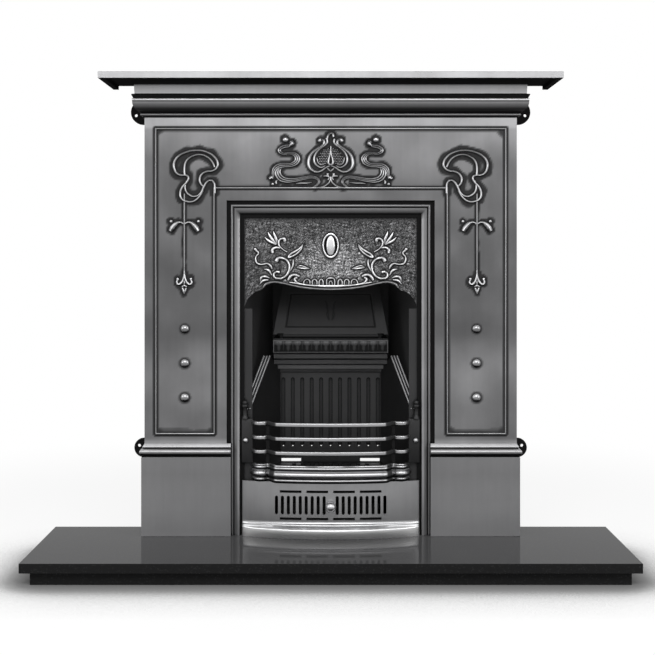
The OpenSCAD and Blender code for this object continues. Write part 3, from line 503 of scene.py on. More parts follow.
def bead(bm, x, h, r, depth=PLATE_D, flat=0.7):
    """A round bead, polished, that stands on a plane."""
    layer(bm, "lead_and_painted_light")
    made = bmesh.ops.create_icosphere(bm, subdivisions=2, radius=r * MM)["verts"]
    bmesh.ops.scale(bm, verts=made, vec=(1, flat, 1))
    bmesh.ops.translate(bm, verts=made, vec=at(x, depth, h))
    blacken(bm, made, BEAD_POLISH)


def merge(bm, part):
    """Adds one bmesh to another."""
    mesh = mesh_of("part", part)
    bm.from_mesh(mesh)
    bpy.data.meshes.remove(mesh)


KNOT = [
    ([(-306, 841), (-314, 850), (-316, 861), (-310, 872), (-299, 878), (-284, 880), (-275, 887),
      (-272, 898), (-281, 914), (-299, 925), (-323, 929), (-350, 924), (-369, 913), (-378, 898),
      (-377, 885), (-371, 874), (-360, 869), (-349, 869), (-343, 864), (-346, 854), (-358, 840),
      (-363, 826), (-360, 813), (-347, 806), (-332, 806), (-319, 815), (-308, 833)], (2.8, 3.3, 2.8)),
    ([(-352, 870), (-353, 883), (-349, 902), (-336, 914), (-317, 919), (-299, 914), (-286, 902),
      (-280, 889)], (2.9, 2.5)),
    ([(-347, 856), (-351, 844), (-350, 833), (-341, 822), (-328, 818), (-315, 824), (-306, 841),
      (-299, 852), (-289, 857), (-282, 852), (-279.5, 838), (-279.5, 826)], (2.5, 3.1, 2.6)),
]
DROP_X = -353


def pair(points, radii):
    """A line and its mirror image across the drop's bar."""
    return [(points, radii), ([(2 * DROP_X - x, h) for x, h in points], radii)]


DROP = [([(DROP_X, h) for h in range(825, 628, -7)], (2.3, 2.5, 2.5, 2.2))]
DROP += pair([(-353, 750), (-360, 755), (-368, 755), (-376, 749), (-382, 742), (-386, 735)],
             (2.0, 2.8, 4.0, 6.2, 7.0, 5.6))
DROP += pair([(-353, 632), (-355, 620), (-360, 610), (-367, 606), (-371, 612), (-368, 618)],
             (2.4, 3.0, 3.6, 3.4, 2.8, 2.4))
DROP += [([(-353, 618), (-353, 610), (-353, 604)], (1.2, 2.6, 1.6)),
         ([(-359, 600), (-353, 603), (-347, 600)], (2.0, 3.0, 2.0))]
DROP += pair([(-358, 598), (-355, 590), (-353, 583)], (2.8, 2.6, 1.2))
DROP_BEADS = [(-385, 758, 4.0), (-319, 758, 4.0), (-369, 619, 3.6), (-337, 619, 3.6)]

polished = iron("polished cast iron", 0.3, 0.03, 0.24, reach=5.0, grain=0.12, worn=(0.2, 0.75), ledge_light=0.5)
relief = iron("relief iron", 0.27, 0.012, 0.3, reach=5.0, grain=0.12, worn=(0.25, 0.8), underside_shade=0.08,
              ledge_light=1.6)

# how far the plate's patina spreads round each kind of relief, as a share
SPREAD = {"knot": 1.0, "drop": 0.7, "bar": 0.4, "crest": 0.6}
BAR_FOOT, BAR_DULL = at(0, 0, 640).z, 0.5

shades, spreads = [], []                    # the relief's points, and the spread round each
for side, name in ((1, "left"), (-1, "right")):
    for part, lines, beads in (("knot", KNOT, ()), ("drop", DROP, DROP_BEADS)):
        bm = strands(lines)
        for x, h, r in beads:
            bead(bm, x, h, r)
        lead_and_painted_light = layer(bm, "lead_and_painted_light")
        for v in bm.verts:                  # the long bar is duller than the rest
            bar = part == "drop" and abs(v.co.x / MM - DROP_X) < 3 and v.co.z > BAR_FOOT
            if bar:
                v[lead_and_painted_light] = min(1, v[lead_and_painted_light] + BAR_DULL)
            spreads.append(SPREAD["bar" if bar else part])
        bmesh.ops.scale(bm, verts=bm.verts, vec=(side, 1, 1))
        shades += [v.co.copy() for v in bm.verts]
        piece(f"{name}_{part}", bm, relief)


def curved(points, steps):
    """A smooth line through points, by Catmull-Rom."""
    line = []
    for i in range(len(points) - 1):
        a, b, c, d = (Vector(points[min(len(points) - 1, max(0, i + k))]) for k in (-1, 0, 1, 2))
        for k in range(steps):
            t = k / steps
            line.append(0.5 * (2 * b + (c - a) * t + (2 * a - 5 * b + 4 * c - d) * t * t
                               + (3 * b - a - 3 * c + d) * t * t * t))
    return line + [Vector(points[-1])]


THIN, THICK = 1.1, 2.3                      # limits for a ribbon's strands


def ribbon(points, widths, reeds=3):
    """A flowing band of parallel strands. Its points are (x, h), and widths are half widths along it."""
    centre = curved(points, 3)
    lines = []
    for k in range(reeds):
        line, radii = [], []
        for i, spot in enumerate(centre):
            ahead, behind = centre[min(i + 1, len(centre) - 1)], centre[max(i - 1, 0)]
            t = (ahead - behind).normalized()
            half = along(widths, i / (len(centre) - 1))
            across = half * (1 - 1 / reeds) * (2 * k / (reeds - 1) - 1)
            line.append(spot + Vector((-t.y, t.x)) * across)
            radii.append(max(THIN, min(THICK, half * 1.04 / reeds)))
        lines.append((line, radii))
    return lines


CREST_HALF = [
    ([(-24, 954), (-18, 953), (-16, 947), (-20, 941), (-33, 932), (-47, 920), (-53, 905), (-52, 890),
      (-43, 880), (-32, 877), (-22, 880), (-12, 887), (-1, 892)],
     (5.2, 4.0, 3.6, 3.9, 4.2, 4.5, 4.2, 3.6, 3.2, 2.6, 2.3)),
    ([(-9, 957), (-8, 949), (-13, 942), (-25, 934), (-35, 923), (-40, 910), (-38, 898), (-31, 891),
      (-22, 888), (-13, 892)], (2.6, 3.0, 3.2, 3.2, 2.8, 2.4, 2.0)),
    ([(-33, 912), (-31, 902), (-25, 895), (-16, 895)], (1.4, 2.2, 1.6)),
    ([(-9, 888), (-4, 882), (0, 879)], (1.4, 2.6, 2.2)),
    ([(-2, 862), (-7, 869), (-7, 874)], (1.4, 3.2, 3.6)),
    ([(-3, 863), (-10, 867), (-17, 867)], (1.4, 3.4, 2.6)),
    ([(0, 862), (-4, 861), (-6, 858)], (1.4, 3.0, 2.2)),
    ([(0, 866), (-2, 855), (-10, 846), (-23, 840), (-36, 839)], (1.8, 2.4, 2.4, 2.2)),
    ([(-84, 849), (-72, 850), (-61, 850), (-46, 852)], (1.0, 2.8, 2.8, 1.0)),
    ([(-97, 951), (-93, 946), (-99, 940)], (5.6, 6.0, 4.0)),
    ([(-138, 868), (-142, 864), (-147, 860)], (2.4, 6.2, 5.0)),
    ([(-129, 858), (-132, 853), (-131, 849)], (1.6, 2.8, 2.6)),
]
CREST_HALF += ribbon([(-96, 944), (-101, 940), (-113, 938), (-123, 932), (-122, 925), (-113, 921),
                      (-105, 920)], (2.6, 4.2, 4.4, 4.4, 4.0, 2.8, 1.6), reeds=2)
CREST_HALF += ribbon([(-112, 922), (-97, 922), (-86, 919), (-80, 910), (-84, 900), (-96, 894), (-110, 893),
                      (-125, 891), (-134, 884), (-138, 875), (-139, 866)],
                     (1.5, 3.2, 5.2, 7.2, 6.8, 5.0, 5.2, 7.0, 6.8, 4.4, 2.2))
CREST_HALF += ribbon([(-118, 892), (-126, 882), (-127, 872), (-120, 862), (-106, 857), (-86, 858), (-65, 862),
                      (-47, 865), (-34, 862), (-28, 854), (-33, 846), (-42, 840)],
                     (2.4, 6.4, 8.4, 8.4, 6.6, 5.0, 4.2, 3.6, 3.2, 2.8, 2.4, 1.6))
bm = strands(CREST_HALF)
for x, h, r in ((-109, 955, 7.6), (-25, 953, 6.6), (-140, 848, 3.4)):
    bead(bm, x, h, r)
SEEDS = [(x, h) for h in range(898, 937, 4) for x in range(-32, -3, 4)
         if (x + 19 - max(0, h - 912) * 0.55) ** 2 / 150 + (h - 914) ** 2 / 420 < 1]
for i, (x, h) in enumerate(SEEDS):
    bead(bm, x + 2 * (h // 4 % 2), h, 1.3 + 0.2 * (i % 3), flat=1.2)
mirrored(bm)
whole = strands([
    ([(7, 962), (4, 970), (-4, 968), (-8, 959), (-8, 951)], (3.4, 3.2, 3.4, 3.0, 2.2)),
    ([(1, 940), (-1, 922), (-5, 906), (-5, 898), (0, 894), (5, 898), (5, 906), (1, 922), (0, 940)],
     (1.4, 2.2, 3.0, 3.2, 3.0, 2.2, 1.4)),
])
bead(whole, -9, 957, 4.0)
merge(bm, whole)
shades += [v.co.copy() for v in bm.verts]
spreads += [SPREAD["crest"]] * len(bm.verts)
piece("crest", bm, relief)

# ---------------------------------------------------------------- front plate
# One casting with its sides turned back to the wall, open behind, and ledges and lugs at the top.
# A raised line between two dark grooves runs round its panels.


def plate_grid(bm, x, low, high, depth, pitch):
    """A square grid over a front face, from -x to x and low to high."""
    columns, rows = round(2 * x / pitch), round((high - low) / pitch)
    made = bmesh.ops.create_grid(bm, x_segments=columns, y_segments=rows, size=0.5)["verts"]
    bmesh.ops.rotate(bm, verts=made, cent=(0, 0, 0), matrix=TIP_FORWARD)
    bmesh.ops.scale(bm, verts=made, vec=(2 * x * MM, 1, (high - low) * MM))
    bmesh.ops.translate(bm, verts=made, vec=at(0, depth, (low + high) / 2))


def line_distance(x, h, line):
    """Distance of a point from a closed line of straight pieces."""
    best = 1e9
    for (x0, h0), (x1, h1) in zip(line, line[1:] + line[:1]):
        along = ((x - x0) * (x1 - x0) + (h - h0) * (h1 - h0)) / ((x1 - x0) ** 2 + (h1 - h0) ** 2)
        along = min(1, max(0, along))
        best = min(best, hypot(x - x0 - along * (x1 - x0), h - h0 - along * (h1 - h0)))
    return best


def point_tree(points):
    """A tree that finds the nearest of some points."""
    tree = KDTree(len(points))
    for i, spot in enumerate(points):
        tree.insert(spot, i)
    tree.balance()
    return tree


def backed(bm, depth):
    """Gives an uneven sheet a flat black back at a depth."""
    back, _ = extruded(bm, bm.faces[:])
    for v in back:
        v.co.y = at(0, depth, 0).y
    blacken(bm, back)


STUD_X, STUD_H, STUD_R, STUD_RISE = 352, (333, 416, 499), 11, 6
PLATE_T, GRID_PITCH, PLATE_LEDGE = 8, 3.6, 32
UPPER_LUG = (484, 1024), (466, 1032), 31    # hole, centre, radius
PANEL_X, PANEL_H = (281, 422), (246, 839, 982)      # the raised line's places across and up
(IN, OUT), (FOOT, STEP, TOP) = PANEL_X, PANEL_H
RIDGE = [(-IN, FOOT), (-OUT, FOOT), (-OUT, TOP), (OUT, TOP), (OUT, FOOT), (IN, FOOT), (IN, STEP), (-IN, STEP)]

bm = bmesh.new()
plate_grid(bm, PLATE_HW, PLATE_FOOT, PLATE_TOP, PLATE_D, GRID_PITCH)
for place, way in ((at(-APERTURE_HW, 0, 0), (1, 0, 0)), (at(APERTURE_HW, 0, 0), (1, 0, 0)),
                   (at(0, 0, APERTURE_H), (0, 0, 1))):
    bmesh.ops.bisect_plane(bm, geom=everything(bm), plane_co=place, plane_no=way)
inside = [f for f in bm.faces if abs(f.calc_center_median().x) < APERTURE_HW * MM
          and f.calc_center_median().z < at(0, 0, APERTURE_H).z]
bmesh.ops.delete(bm, geom=inside, context="FACES")
lead_and_painted_light = layer(bm, "lead_and_painted_light")
tree = point_tree(shades)
for v in bm.verts:
    x, h = v.co.x / MM, (v.co.z - HEARTH_TOP) / MM
    i, near = tree.find(v.co)[1:]
    near /= spreads[i] * MM
    ridge = line_distance(x, h, RIDGE)
    panel = FOOT < h < TOP and abs(x) < OUT and (abs(x) > IN or h > STEP)
    corner = min(abs(abs(x) - a) * 0.75 + abs(h - b) for a, b in ((OUT, FOOT), (IN, FOOT), (OUT, TOP)))
    stud = min(hypot(abs(x) - STUD_X, h - s) for s in STUD_H)
    drift = noise.noise(v.co * 40)
    dark = max(0.85 * smooth(8 + 5 * drift, 11 + 6 * drift, near), 0.97 * smooth(1.6, 5.0, near),
               0.98 * smooth(4.6, 7.4, ridge), 0.9 * smooth(STUD_R, STUD_R + 5, stud))
    if panel:
        dark = max(dark, 0.75 * smooth(16 + 8 * drift, 26 + 12 * drift, corner),
                   0.6 * smooth(4, 13 + 8 * drift, h - FOOT))
    # the top strip, the upper part, the foot and the lower panels are painted lighter, a painted sheen,
    # mottled by noise
    worn = 0.62 * smooth(-1, 8, TOP + 5 - h) + 0.6 * smooth(0, 200, 1000 - h)
    worn += 1.3 * smooth(0, 14, h - PLATE_FOOT) + 0.45 * smooth(420, 520, h)
    worn += 0.3 * noise.noise(v.co * 5.5) + 0.35 * noise.noise(v.co * 14)
    v[lead_and_painted_light] = dark if dark > 0.03 else -0.55 * worn
inner_d, inner_x = PLATE_D - PLATE_T, PLATE_HW - PLATE_T
back, _ = extruded(bm, bm.faces[:])
bmesh.ops.translate(bm, verts=back, vec=(0, PLATE_T * MM, 0))
blacken(bm, back)
for side in (-1, 1):
    x0, x1 = sorted((side * PLATE_HW, side * inner_x))
    block(bm, x0, x1, 0, inner_d, PLATE_FOOT, PLATE_TOP)
    lug(bm, *UPPER_LUG, PLATE_HW - 4, side)
blacken(bm, block(bm, -inner_x, inner_x, PLATE_D - PLATE_LEDGE, inner_d, PLATE_TOP - PLATE_T, PLATE_TOP))
plate_iron = iron("burnished plate", 0.15, 0.014, 0.36, ledge_light=0.8)
piece("moulded_front_plate", bm, plate_iron, ("front_plate",))


def upright(x, h, d):
    """Lays a swept outline round a path up and down the wall."""
    return at(x, d, h)


bm = bmesh.new()
ridge_outline = [(-2, PLATE_D - 0.5), (2, PLATE_D - 0.5)] + arc(0, PLATE_D + 0.3, 2, 0, 180, 6)
sweep(bm, ridge_outline, RIDGE + RIDGE[:1], lay=upright)
piece("ridge_lines", bm, relief, ("panel_ridges",))


def turned(bm, outline, centre, forward=True, steps=32):
    """Turns an outline of (radius, distance along the axis) round an axis that points at the room, or up."""
    along = Vector((0, -1, 0) if forward else (0, 0, 1))
    line = [bm.verts.new(centre + (Vector((r, 0, 0)) + along * t) * MM) for r, t in outline]
    edges = [bm.edges.new(ends) for ends in zip(line, line[1:])]
    bmesh.ops.spin(bm, geom=line + edges, cent=centre, axis=(0, 1, 0) if forward else (0, 0, 1),
                   dvec=(0, 0, 0), angle=2 * pi, steps=steps, use_merge=True)


def globe(r, centre, start, step):
    """A ball's outline to its top, from so many degrees above its foot."""
    return [(r * sin(radians(a)), centre - r * cos(radians(a))) for a in range(start, 181, step)]


bm = bmesh.new()
ball = (STUD_R ** 2 + STUD_RISE ** 2) / (2 * STUD_RISE)
dome = [(ball * sin(t), STUD_RISE - ball + ball * cos(t))
        for t in [asin(STUD_R / ball) * i / 8 for i in range(9)]]
for h in STUD_H:
    for x in (-STUD_X, STUD_X):
        turned(bm, dome + [(STUD_R, -0.5), (0, -0.5)], at(x, PLATE_D, h))
piece("round_studs", bm, polished, ("panel_studs",))

# ---------------------------------------------------------------- cornice and shelf
# The cornice is one moulded casting: a flat frieze, a bead over an ovolo, and a thin bead below.
# The shelf is a plate with turned-down edges, bright along its front.

# out of the plate, below the shelf, black lead and painted light
# the frieze's top is painted dark as the shelf's shadow, the rest of the frieze and the bead over the ovolo
# are painted lighter, and the ovolo's foot and the band under the lower bead are painted dark as their shade
CORNICE = [(0, 0, 1), (22.4, 0, 1), (22.4, 11.5, 1), (22.3, 13, 0), (22.1, 16, -0.6), (21.1, 33.2, -0.9),
           (21.1, 34, 1), (27.4, 35.2, 1), (28, 36.4, 1), (27.6, 37.8, 1), (24, 44.4, 1), (24, 45.4, 0.4)]
CORNICE += [(23.4 + 3.6 * sin(radians(a)), 48.4 - 3.2 * cos(radians(a)), -1.7) for a in range(0, 121, 20)]
CORNICE += [(26, 51.4, 0.6)]
CORNICE += [(8 + 18 * cos(radians(a)), 53.5 + 22.5 * sin(radians(a)), max(0, (a - 34) / 50))
            for a in range(4, 91, 8)]
CORNICE += [(4.5, 76.6, 1), (4, 79, 1)]
CORNICE += [(5 + 4 * sin(radians(a)), 83 - 3.6 * cos(radians(a)), 0.25) for a in range(0, 181, 30)]
CORNICE += [(3, 87, 1), (3, 89, 1), (0, 89, 1)]
CORNICE_END = 6.2                           # its ends stand off the wall
bm = bmesh.new()
sweep(bm, [(out, PLATE_TOP - down, dark) for out, down, dark in CORNICE],
      [(-PLATE_HW, CORNICE_END), (-PLATE_HW, PLATE_D), (PLATE_HW, PLATE_D), (PLATE_HW, CORNICE_END)])
piece("moulded_cornice", bm, front_iron, ("cornice",))

shelf_iron = iron("polished shelf", 0.39, 0.012, 0.3, reach=6.0, grain=0.1, worn=(0.2, 0.7), ledge_light=0.5)
SHELF_HW, SHELF_D, SHELF_H, SHELF_FOOT, SHELF_RIM, SHELF_T = 542, 215, 1105, 1089, 14, 7
bm = bmesh.new()
# its underside and the inside of its rim are black: bare of polish, and a painted shade as well
sweep(bm, [(-SHELF_RIM, SHELF_H - SHELF_T, 1), (-SHELF_RIM, SHELF_FOOT, 1), (-1, SHELF_FOOT, 1),
           (0, SHELF_FOOT + 1, 0), (0, SHELF_H - 1, 0), (-1, SHELF_H, 0), (-SHELF_RIM, SHELF_H, 0)],
      [(-SHELF_HW, 0), (-SHELF_HW, SHELF_D), (SHELF_HW, SHELF_D), (SHELF_HW, 0)])
out, up = layer(bm, "out"), layer(bm, "up")
edge = [v for v in bm.verts if v[out] < 1 - SHELF_RIM and v[up] > SHELF_FOOT + 1]
inner = [f for f in bm.faces if all(v in edge for v in f.verts)]
bmesh.ops.delete(bm, geom=inner, context="FACES")
low, high = ([v for v in edge if (v[up] > SHELF_H - 1) == top] for top in (False, True))
bm.faces.new(low)
bm.faces.new(high)
bm.faces.new([low[0], low[-1], high[-1], high[0]])
piece("polished_shelf", bm, shelf_iron, ("mantel_shelf",))

# ---------------------------------------------------------------- insert frame
# An inverted U behind the plate's opening: a recess, a bead, a groove and a bright flat strip,
# then a step down to the lip that holds the canopy.

# out of the opening's edge, out from the wall, black lead and painted light
FRAME = [(16, 88, 1), (16, 96, 1), (1, 96, 1), (-3, 96, 1), (-9.4, 96, 1)]
FRAME += [(x, d, 0.15) for x, d in arc(-12.6, 96.2, 3.0, 10, 170, 8)]
# a lighter band along the bright strip is a painted highlight
FRAME += [(-16.2, 95.4, 1), (-17.8, 95.4, 1), (-18.4, 97, 0.5), (-20.5, 97.8, 0.3), (-24, 98.6, 0.2),
          (-27, 99.6, -0.3), (-30, 99.4, -0.3), (-31.6, 98, 0.1), (-32, 96.5, 0.7), (-32, 92, 1),
          (-41, 92, 1), (-41, 88, 1)]
LEG = [(-10.6, 88, 1), (-10.6, 98, 0)] + [p for p in FRAME if p[0] < -10.5]
STRIP, STRIP_TURN = (-32, -18), 46          # the bright strip, and how far below the top its grey turns
HAIRLINE = 0.02                             # between the legs and the frame

bm = bmesh.new()
climb = [(-APERTURE_HW, h) for h in (PLATE_FOOT, APERTURE_H - STRIP_TURN, APERTURE_H)]
sweep(bm, FRAME, climb + [(-x, h) for x, h in climb[::-1]], lay=upright)
out, lead_and_painted_light = layer(bm, "out"), layer(bm, "lead_and_painted_light")
for v in bm.verts:                          # the strip under the top is darker than those at the sides, and darker towards its lower edge
    if v.co.z > at(0, 0, APERTURE_H - STRIP_TURN + 1).z and STRIP[0] < v[out] < STRIP[1]:
        v[lead_and_painted_light] = max(v[lead_and_painted_light], 0.4 - 0.04 * (v[out] - STRIP[1]))
for side in (-1, 1):
    leg = [(side * APERTURE_HW, 0), (side * APERTURE_HW, PLATE_FOOT - HAIRLINE)]
    sweep(bm, LEG, leg[::-side], lay=upright)
frame_iron = iron("frame iron", 0.24, 0.012, 0.32, reach=7.0, worn=(0.3, 0.8), ledge_light=0.0)
piece("moulded_insert_frame", bm, frame_iron, ("insert_frame",))

# ---------------------------------------------------------------- canopy
# A hammered plate that closes the top of the opening, with flowers in relief at both sides,
# an oval boss in the middle and a rolled, arcaded edge below.

CANOPY_D, CANOPY_T, CANOPY_HW, CANOPY_TOP, OPEN_HW = 88, 6, 221, 779, 210
BOSS_H, BOSS_HW, BOSS_HH = 700, 20, 31
FLOWER_LIFT, ROLL_H, ROLL_SHADE = 0.4, 7, 0.45
LOW = 590                                   # the lower edge's height in the middle
EDGE = [(0, 0), (50, 4), (88, 10), (119, 17), (139, 19), (147, 18.5), (161, 8.5), (169, 2),
        (184, -2.5), (201, -18), (211, -43), (221, -43)]


def edge_height(x):
    """Height of the canopy's lower edge."""
    x = abs(x)
    for (x0, h0), (x1, h1) in zip(EDGE, EDGE[1:]):
        if x <= x1:
            return LOW + h0 + (h1 - h0) * (x - x0) / (x1 - x0)
    return LOW + EDGE[-1][1]


LILY = [
    ([(-132, 702), (-142, 707), (-151, 712), (-160, 721)], (1.4, 4.0, 3.4, 1.0)),
    ([(-132, 703), (-141, 714), (-147, 723), (-152, 733)], (1.4, 4.0, 3.4, 1.0)),
    ([(-131, 704), (-132, 715), (-136, 726), (-139, 735)], (1.4, 3.8, 3.2, 0.9)),
    ([(-105, 684), (-119, 693), (-126, 703), (-124, 713), (-118, 717)], (1.8, 2.4, 2.8, 3.0)),
    ([(-118, 717), (-112, 716), (-111, 710)], (3.0, 4.4, 4.0)),
    ([(-123, 694), (-133, 695), (-141, 690), (-141, 682)], (2.0, 3.2, 4.2, 3.8)),
    ([(-102, 671), (-99, 677), (-87, 685), (-76, 692), (-67, 703)], (3.2, 3.0, 3.2, 2.8, 0.9)),
    ([(-102, 671), (-92, 674), (-80, 682), (-72, 691), (-67, 703)], (3.0, 2.8, 2.8, 2.4, 0.8)),
    ([(-91, 667), (-91, 653), (-98, 638)], (1.2, 2.6, 1.6)),
    ([(-132, 662), (-127, 669), (-116, 669), (-105, 662), (-100, 649), (-103, 634), (-113, 623),
      (-126, 620), (-137, 624), (-137, 632), (-130, 637)], (5.4, 4.6, 3.4, 3.0, 3.0, 3.2, 3.2, 2.8, 2.4)),
    ([(-132, 637), (-124, 635)], (3.0, 4.2)),
    ([(-142, 643), (-146, 651), (-153, 656), (-167, 654), (-178, 657), (-182, 665), (-181, 673),
      (-175, 681), (-182, 689)], (1.6, 3.2, 2.8, 2.4, 2.6, 2.4, 2.0, 2.2, 3.4)),
    ([(-162, 643), (-151, 640), (-143, 628)], (1.2, 3.8, 1.4)),
    ([(-171, 611), (-168, 622), (-160, 625), (-148, 621)], (1.0, 3.6, 3.8, 1.4)),
    ([(-172, 606), (-163, 615), (-151, 617)], (1.2, 3.6, 1.6)),
    ([(-83, 647), (-73, 651), (-63, 648), (-51, 644)], (0.8, 2.4, 2.4, 0.8)),
    ([(-83, 647), (-72, 645), (-61, 644), (-51, 644)], (0.8, 2.4, 2.4, 0.8)),
    ([(-103, 616), (-97, 625), (-87, 629), (-76, 625)], (3.2, 4.8, 4.6, 3.2)),
    ([(-81, 623), (-87, 619), (-83, 611), (-73, 607)], (3.2, 3.6, 3.0, 2.4)),
    ([(-164, 598), (-157, 606), (-146, 610), (-132, 611), (-118, 609), (-88, 602), (-56, 597),
      (-28, 594.5), (0, 593.5)], (2.4, 3.4, 3.2, 3.0, 2.8, 2.8, 2.8, 2.8)),
    ([(-100, 611), (-75, 607), (-56, 604), (-25, 602), (0, 601.5)], (1.8, 2.8, 3.0, 3.0, 3.0)),
    ([(-66, 607), (-63, 615), (-56, 618), (-51, 614), (-50, 607)], (1.7, 2.2, 1.7)),
    ([(-44, 605), (-44, 614), (-39, 618), (-34, 614), (-33, 605)], (1.7, 2.2, 1.7)),
    ([(-28, 604), (-27, 614), (-23, 618), (-19, 614), (-18, 604)], (1.7, 2.2, 1.7)),
]
LILY_MIDDLE = [([(-9, 603), (-10, 613), (-8, 619), (0, 621), (8, 619), (10, 613), (9, 603)], (1.6, 1.9, 1.6)),
               ([(-4, 604), (-3, 611), (0, 614), (3, 611), (4, 604)], (1.3, 1.6, 1.3))]

flowers = strands(LILY, FLOWER_LIFT, CANOPY_D, 1.0)
bead(flowers, -183, 691, 3.6, CANOPY_D)
mirrored(flowers)
merge(flowers, strands(LILY_MIDDLE, FLOWER_LIFT, CANOPY_D, 1.0))
tree = point_tree([v.co.copy() for v in flowers.verts])
lead_and_painted_light = layer(flowers, "lead_and_painted_light")
for v in flowers.verts:                     # the rolled edge is painted darker than the flowers, a painted shade that tones down its highlight
    if (v.co.z - HEARTH_TOP) / MM < edge_height(v.co.x / MM) + ROLL_H:
        v[lead_and_painted_light] = max(v[lead_and_painted_light], ROLL_SHADE)
flower_iron = iron("canopy relief", 0.38, 0.01, 0.3, reach=2.5, grain=0.1, worn=(0.2, 0.7), underside_shade=0.12,
                   ledge_light=0.4)
piece("canopy_flowers", flowers, flower_iron)

bm = bmesh.new()
bmesh.ops.create_grid(bm, x_segments=340, y_segments=140, size=0.5)
hammer_marks_and_painted_shade = layer(bm, "lead_and_painted_light")
for v in bm.verts:
    x, share = 2 * CANOPY_HW * v.co.x, v.co.y + 0.5
    low = edge_height(x)
    h = low + (CANOPY_TOP - low) * share
    # strokes of the hammer's edge run both ways, over a slow swell
    dent = noise.noise(Vector((0.5 * (x - h), 3, 0.13 * (x + h))))
    dent += noise.noise(Vector((0.13 * (x - h), 9, 0.5 * (x + h))))
    dent += 0.4 * noise.noise(Vector((x, 5, h)) * 0.1)
    v.co = at(x, CANOPY_D - 1.0 + 0.9 * dent, h)
    near = tree.find(at(x, CANOPY_D, h))[2] / MM
    boss = hypot(x / BOSS_HW, (h - BOSS_H) / BOSS_HH)
    middle = smooth(0.3, 1.0, hypot(x / 150, (h - 648) / 85))
    # along the frame's sides and under its top the canopy is painted dark, a painted shadow of the frame; the
    # strokes are lighter towards the middle
    dark = max(smooth(1.0, 4.2, near), smooth(1.0, 1.25, boss), 0.8 * smooth(0, 7, OPEN_HW - abs(x)),
               0.75 * smooth(2, 16, APERTURE_H - 41 - h))
    stroke = 0.62 - 0.66 * middle - (1.2 + 0.6 * middle) * dent
    v[hammer_marks_and_painted_shade] = max(dark, min(0.9, stroke)) if dark > 0.03 else max(-1.2, min(0.9, stroke))
backed(bm, CANOPY_D - CANOPY_T)
hammered = iron("hammered iron", 0.2, 0.01, 0.34, reach=3.0, grain=0.3, worn=(0.3, 0.9), ledge_light=0.3)
piece("hammered_canopy", bm, hammered, ("canopy",))

SEAT = [(0, -1), (19, -1), (19, 0.8), (0, 0.8)]
RING = [(16.4, 0)] + arc(18.2, 2.4, 1.8, 180, 0, 9) + [(BOSS_HW, 0), (16.4, 0)]
CABOCHON = [(0, 6), (5, 5.9), (8, 5.4), (9.8, 4.2), (10.5, 2.2), (10.5, 0), (0, 0)]
RING_STRETCH, STONE_STRETCH = 1.55, 2.38
bm = bmesh.new()
origin = at(0, CANOPY_D, BOSS_H)
for outline, stretch, dark in ((SEAT, RING_STRETCH, 1), (RING, RING_STRETCH, 0),
                               (CABOCHON, STONE_STRETCH, 0)):
    part = bmesh.new()
    turned(part, outline, origin, steps=48)
    bmesh.ops.scale(part, verts=part.verts, vec=(1, 1, stretch), space=Matrix.Translation(-origin))
    blacken(part, part.verts, dark)
    merge(bm, part)
boss_iron = iron("bright boss", 0.85, 0.01, 0.2, reach=3.0, grain=0.05, worn=(0.4, 0.8), ledge_light=0.2)
piece("oval_boss", bm, boss_iron, ("canopy_boss",))

# ---------------------------------------------------------------- bars, rail and standards
# Three polished bars and a moulded rail follow the same bowed line, which dips into a notch
# near each end. Black standards with turned knobs carry them, held by ball-headed bolts.

BAR_POINTS = [(0, 63), (60, 60), (105, 55), (131, 49), (140, 39), (145, 27), (152, 20), (161, 26),
              (172, 28), (181, 21), (186, 11), (191, 2), (196, -3)]
LIP_D = 92
half = [Vector((x, LIP_D + d)) for x, d in curved(BAR_POINTS, 6)]
bar_line = [Vector((-p.x, p.y)) for p in half[:0:-1]] + half
STANDARD_IN, RAIL_FOOT, RAIL_H, BAR_PITCH, BAR_H, BAR_T, BAR_R = 188, 133.5, 42, 34, 9, 7, 2
RAIL_TOP = RAIL_FOOT + RAIL_H
POST_X, POST_W, POST_D = 151, 9, (11, 20)
STANDARD_W, STANDARD_T, KNOB_X, BOLT_X, BOLT_H, BALL_R = 27, 8, 207, 205, 230, 6.5
SPACER = 199, 209.4                         # from the canopy to the standard, round the bolt


def shade_notches(bm, near, far):
    """Paints the bars and the rail dark inside their notches, a painted shade."""
    lead_and_painted_light = layer(bm, "lead_and_painted_light")
    for v in bm.verts:
        x = abs(v.co.x) / MM
        v[lead_and_painted_light] = max(v[lead_and_painted_light], 0.93 * smooth(near, near + 4, -x + 2 * near) * smooth(far - 4, far, x))


bright_bars = iron("polished bars", 0.42, 0.01, 0.3, reach=14.0, grain=0.06, worn=(0.3, 0.7), ledge_light=0.5)
black = iron("black-leaded iron", 0.04, 0.008, 0.5, reach=5.0, grain=0.5, underside_shade=0.8, ledge_light=0.2)
sooty = iron("dull black iron", 0.018, 0.006, 0.55, reach=10.0, grain=0.5)
bm = bmesh.new()
inner = [p for p in bar_line if abs(p.x) < STANDARD_IN]
for i in (1, 2, 3):
    top = RAIL_TOP + i * BAR_PITCH
    section = []
    for start, x, up in ((0, 1, 1), (90, -1, 1), (180, -1, -1), (270, 1, -1)):
        section += arc(x * (BAR_T / 2 - BAR_R), top - BAR_H / 2 + up * (BAR_H / 2 - BAR_R), BAR_R,
                       start, start + 90, 3)
    sweep(bm, section, [tuple(p) for p in inner])
shade_notches(bm, 133, 158)
piece("bowed_bars", bm, bright_bars, ("fire_bars",))
bm = bmesh.new()
for side in (-1, 1):
    block(bm, side * POST_X - POST_W / 2, side * POST_X + POST_W / 2, LIP_D + POST_D[0], LIP_D + POST_D[1],
          RAIL_TOP - 1, RAIL_TOP + 3 * BAR_PITCH)
piece("bar_posts", bm, sooty, edge=1.2)


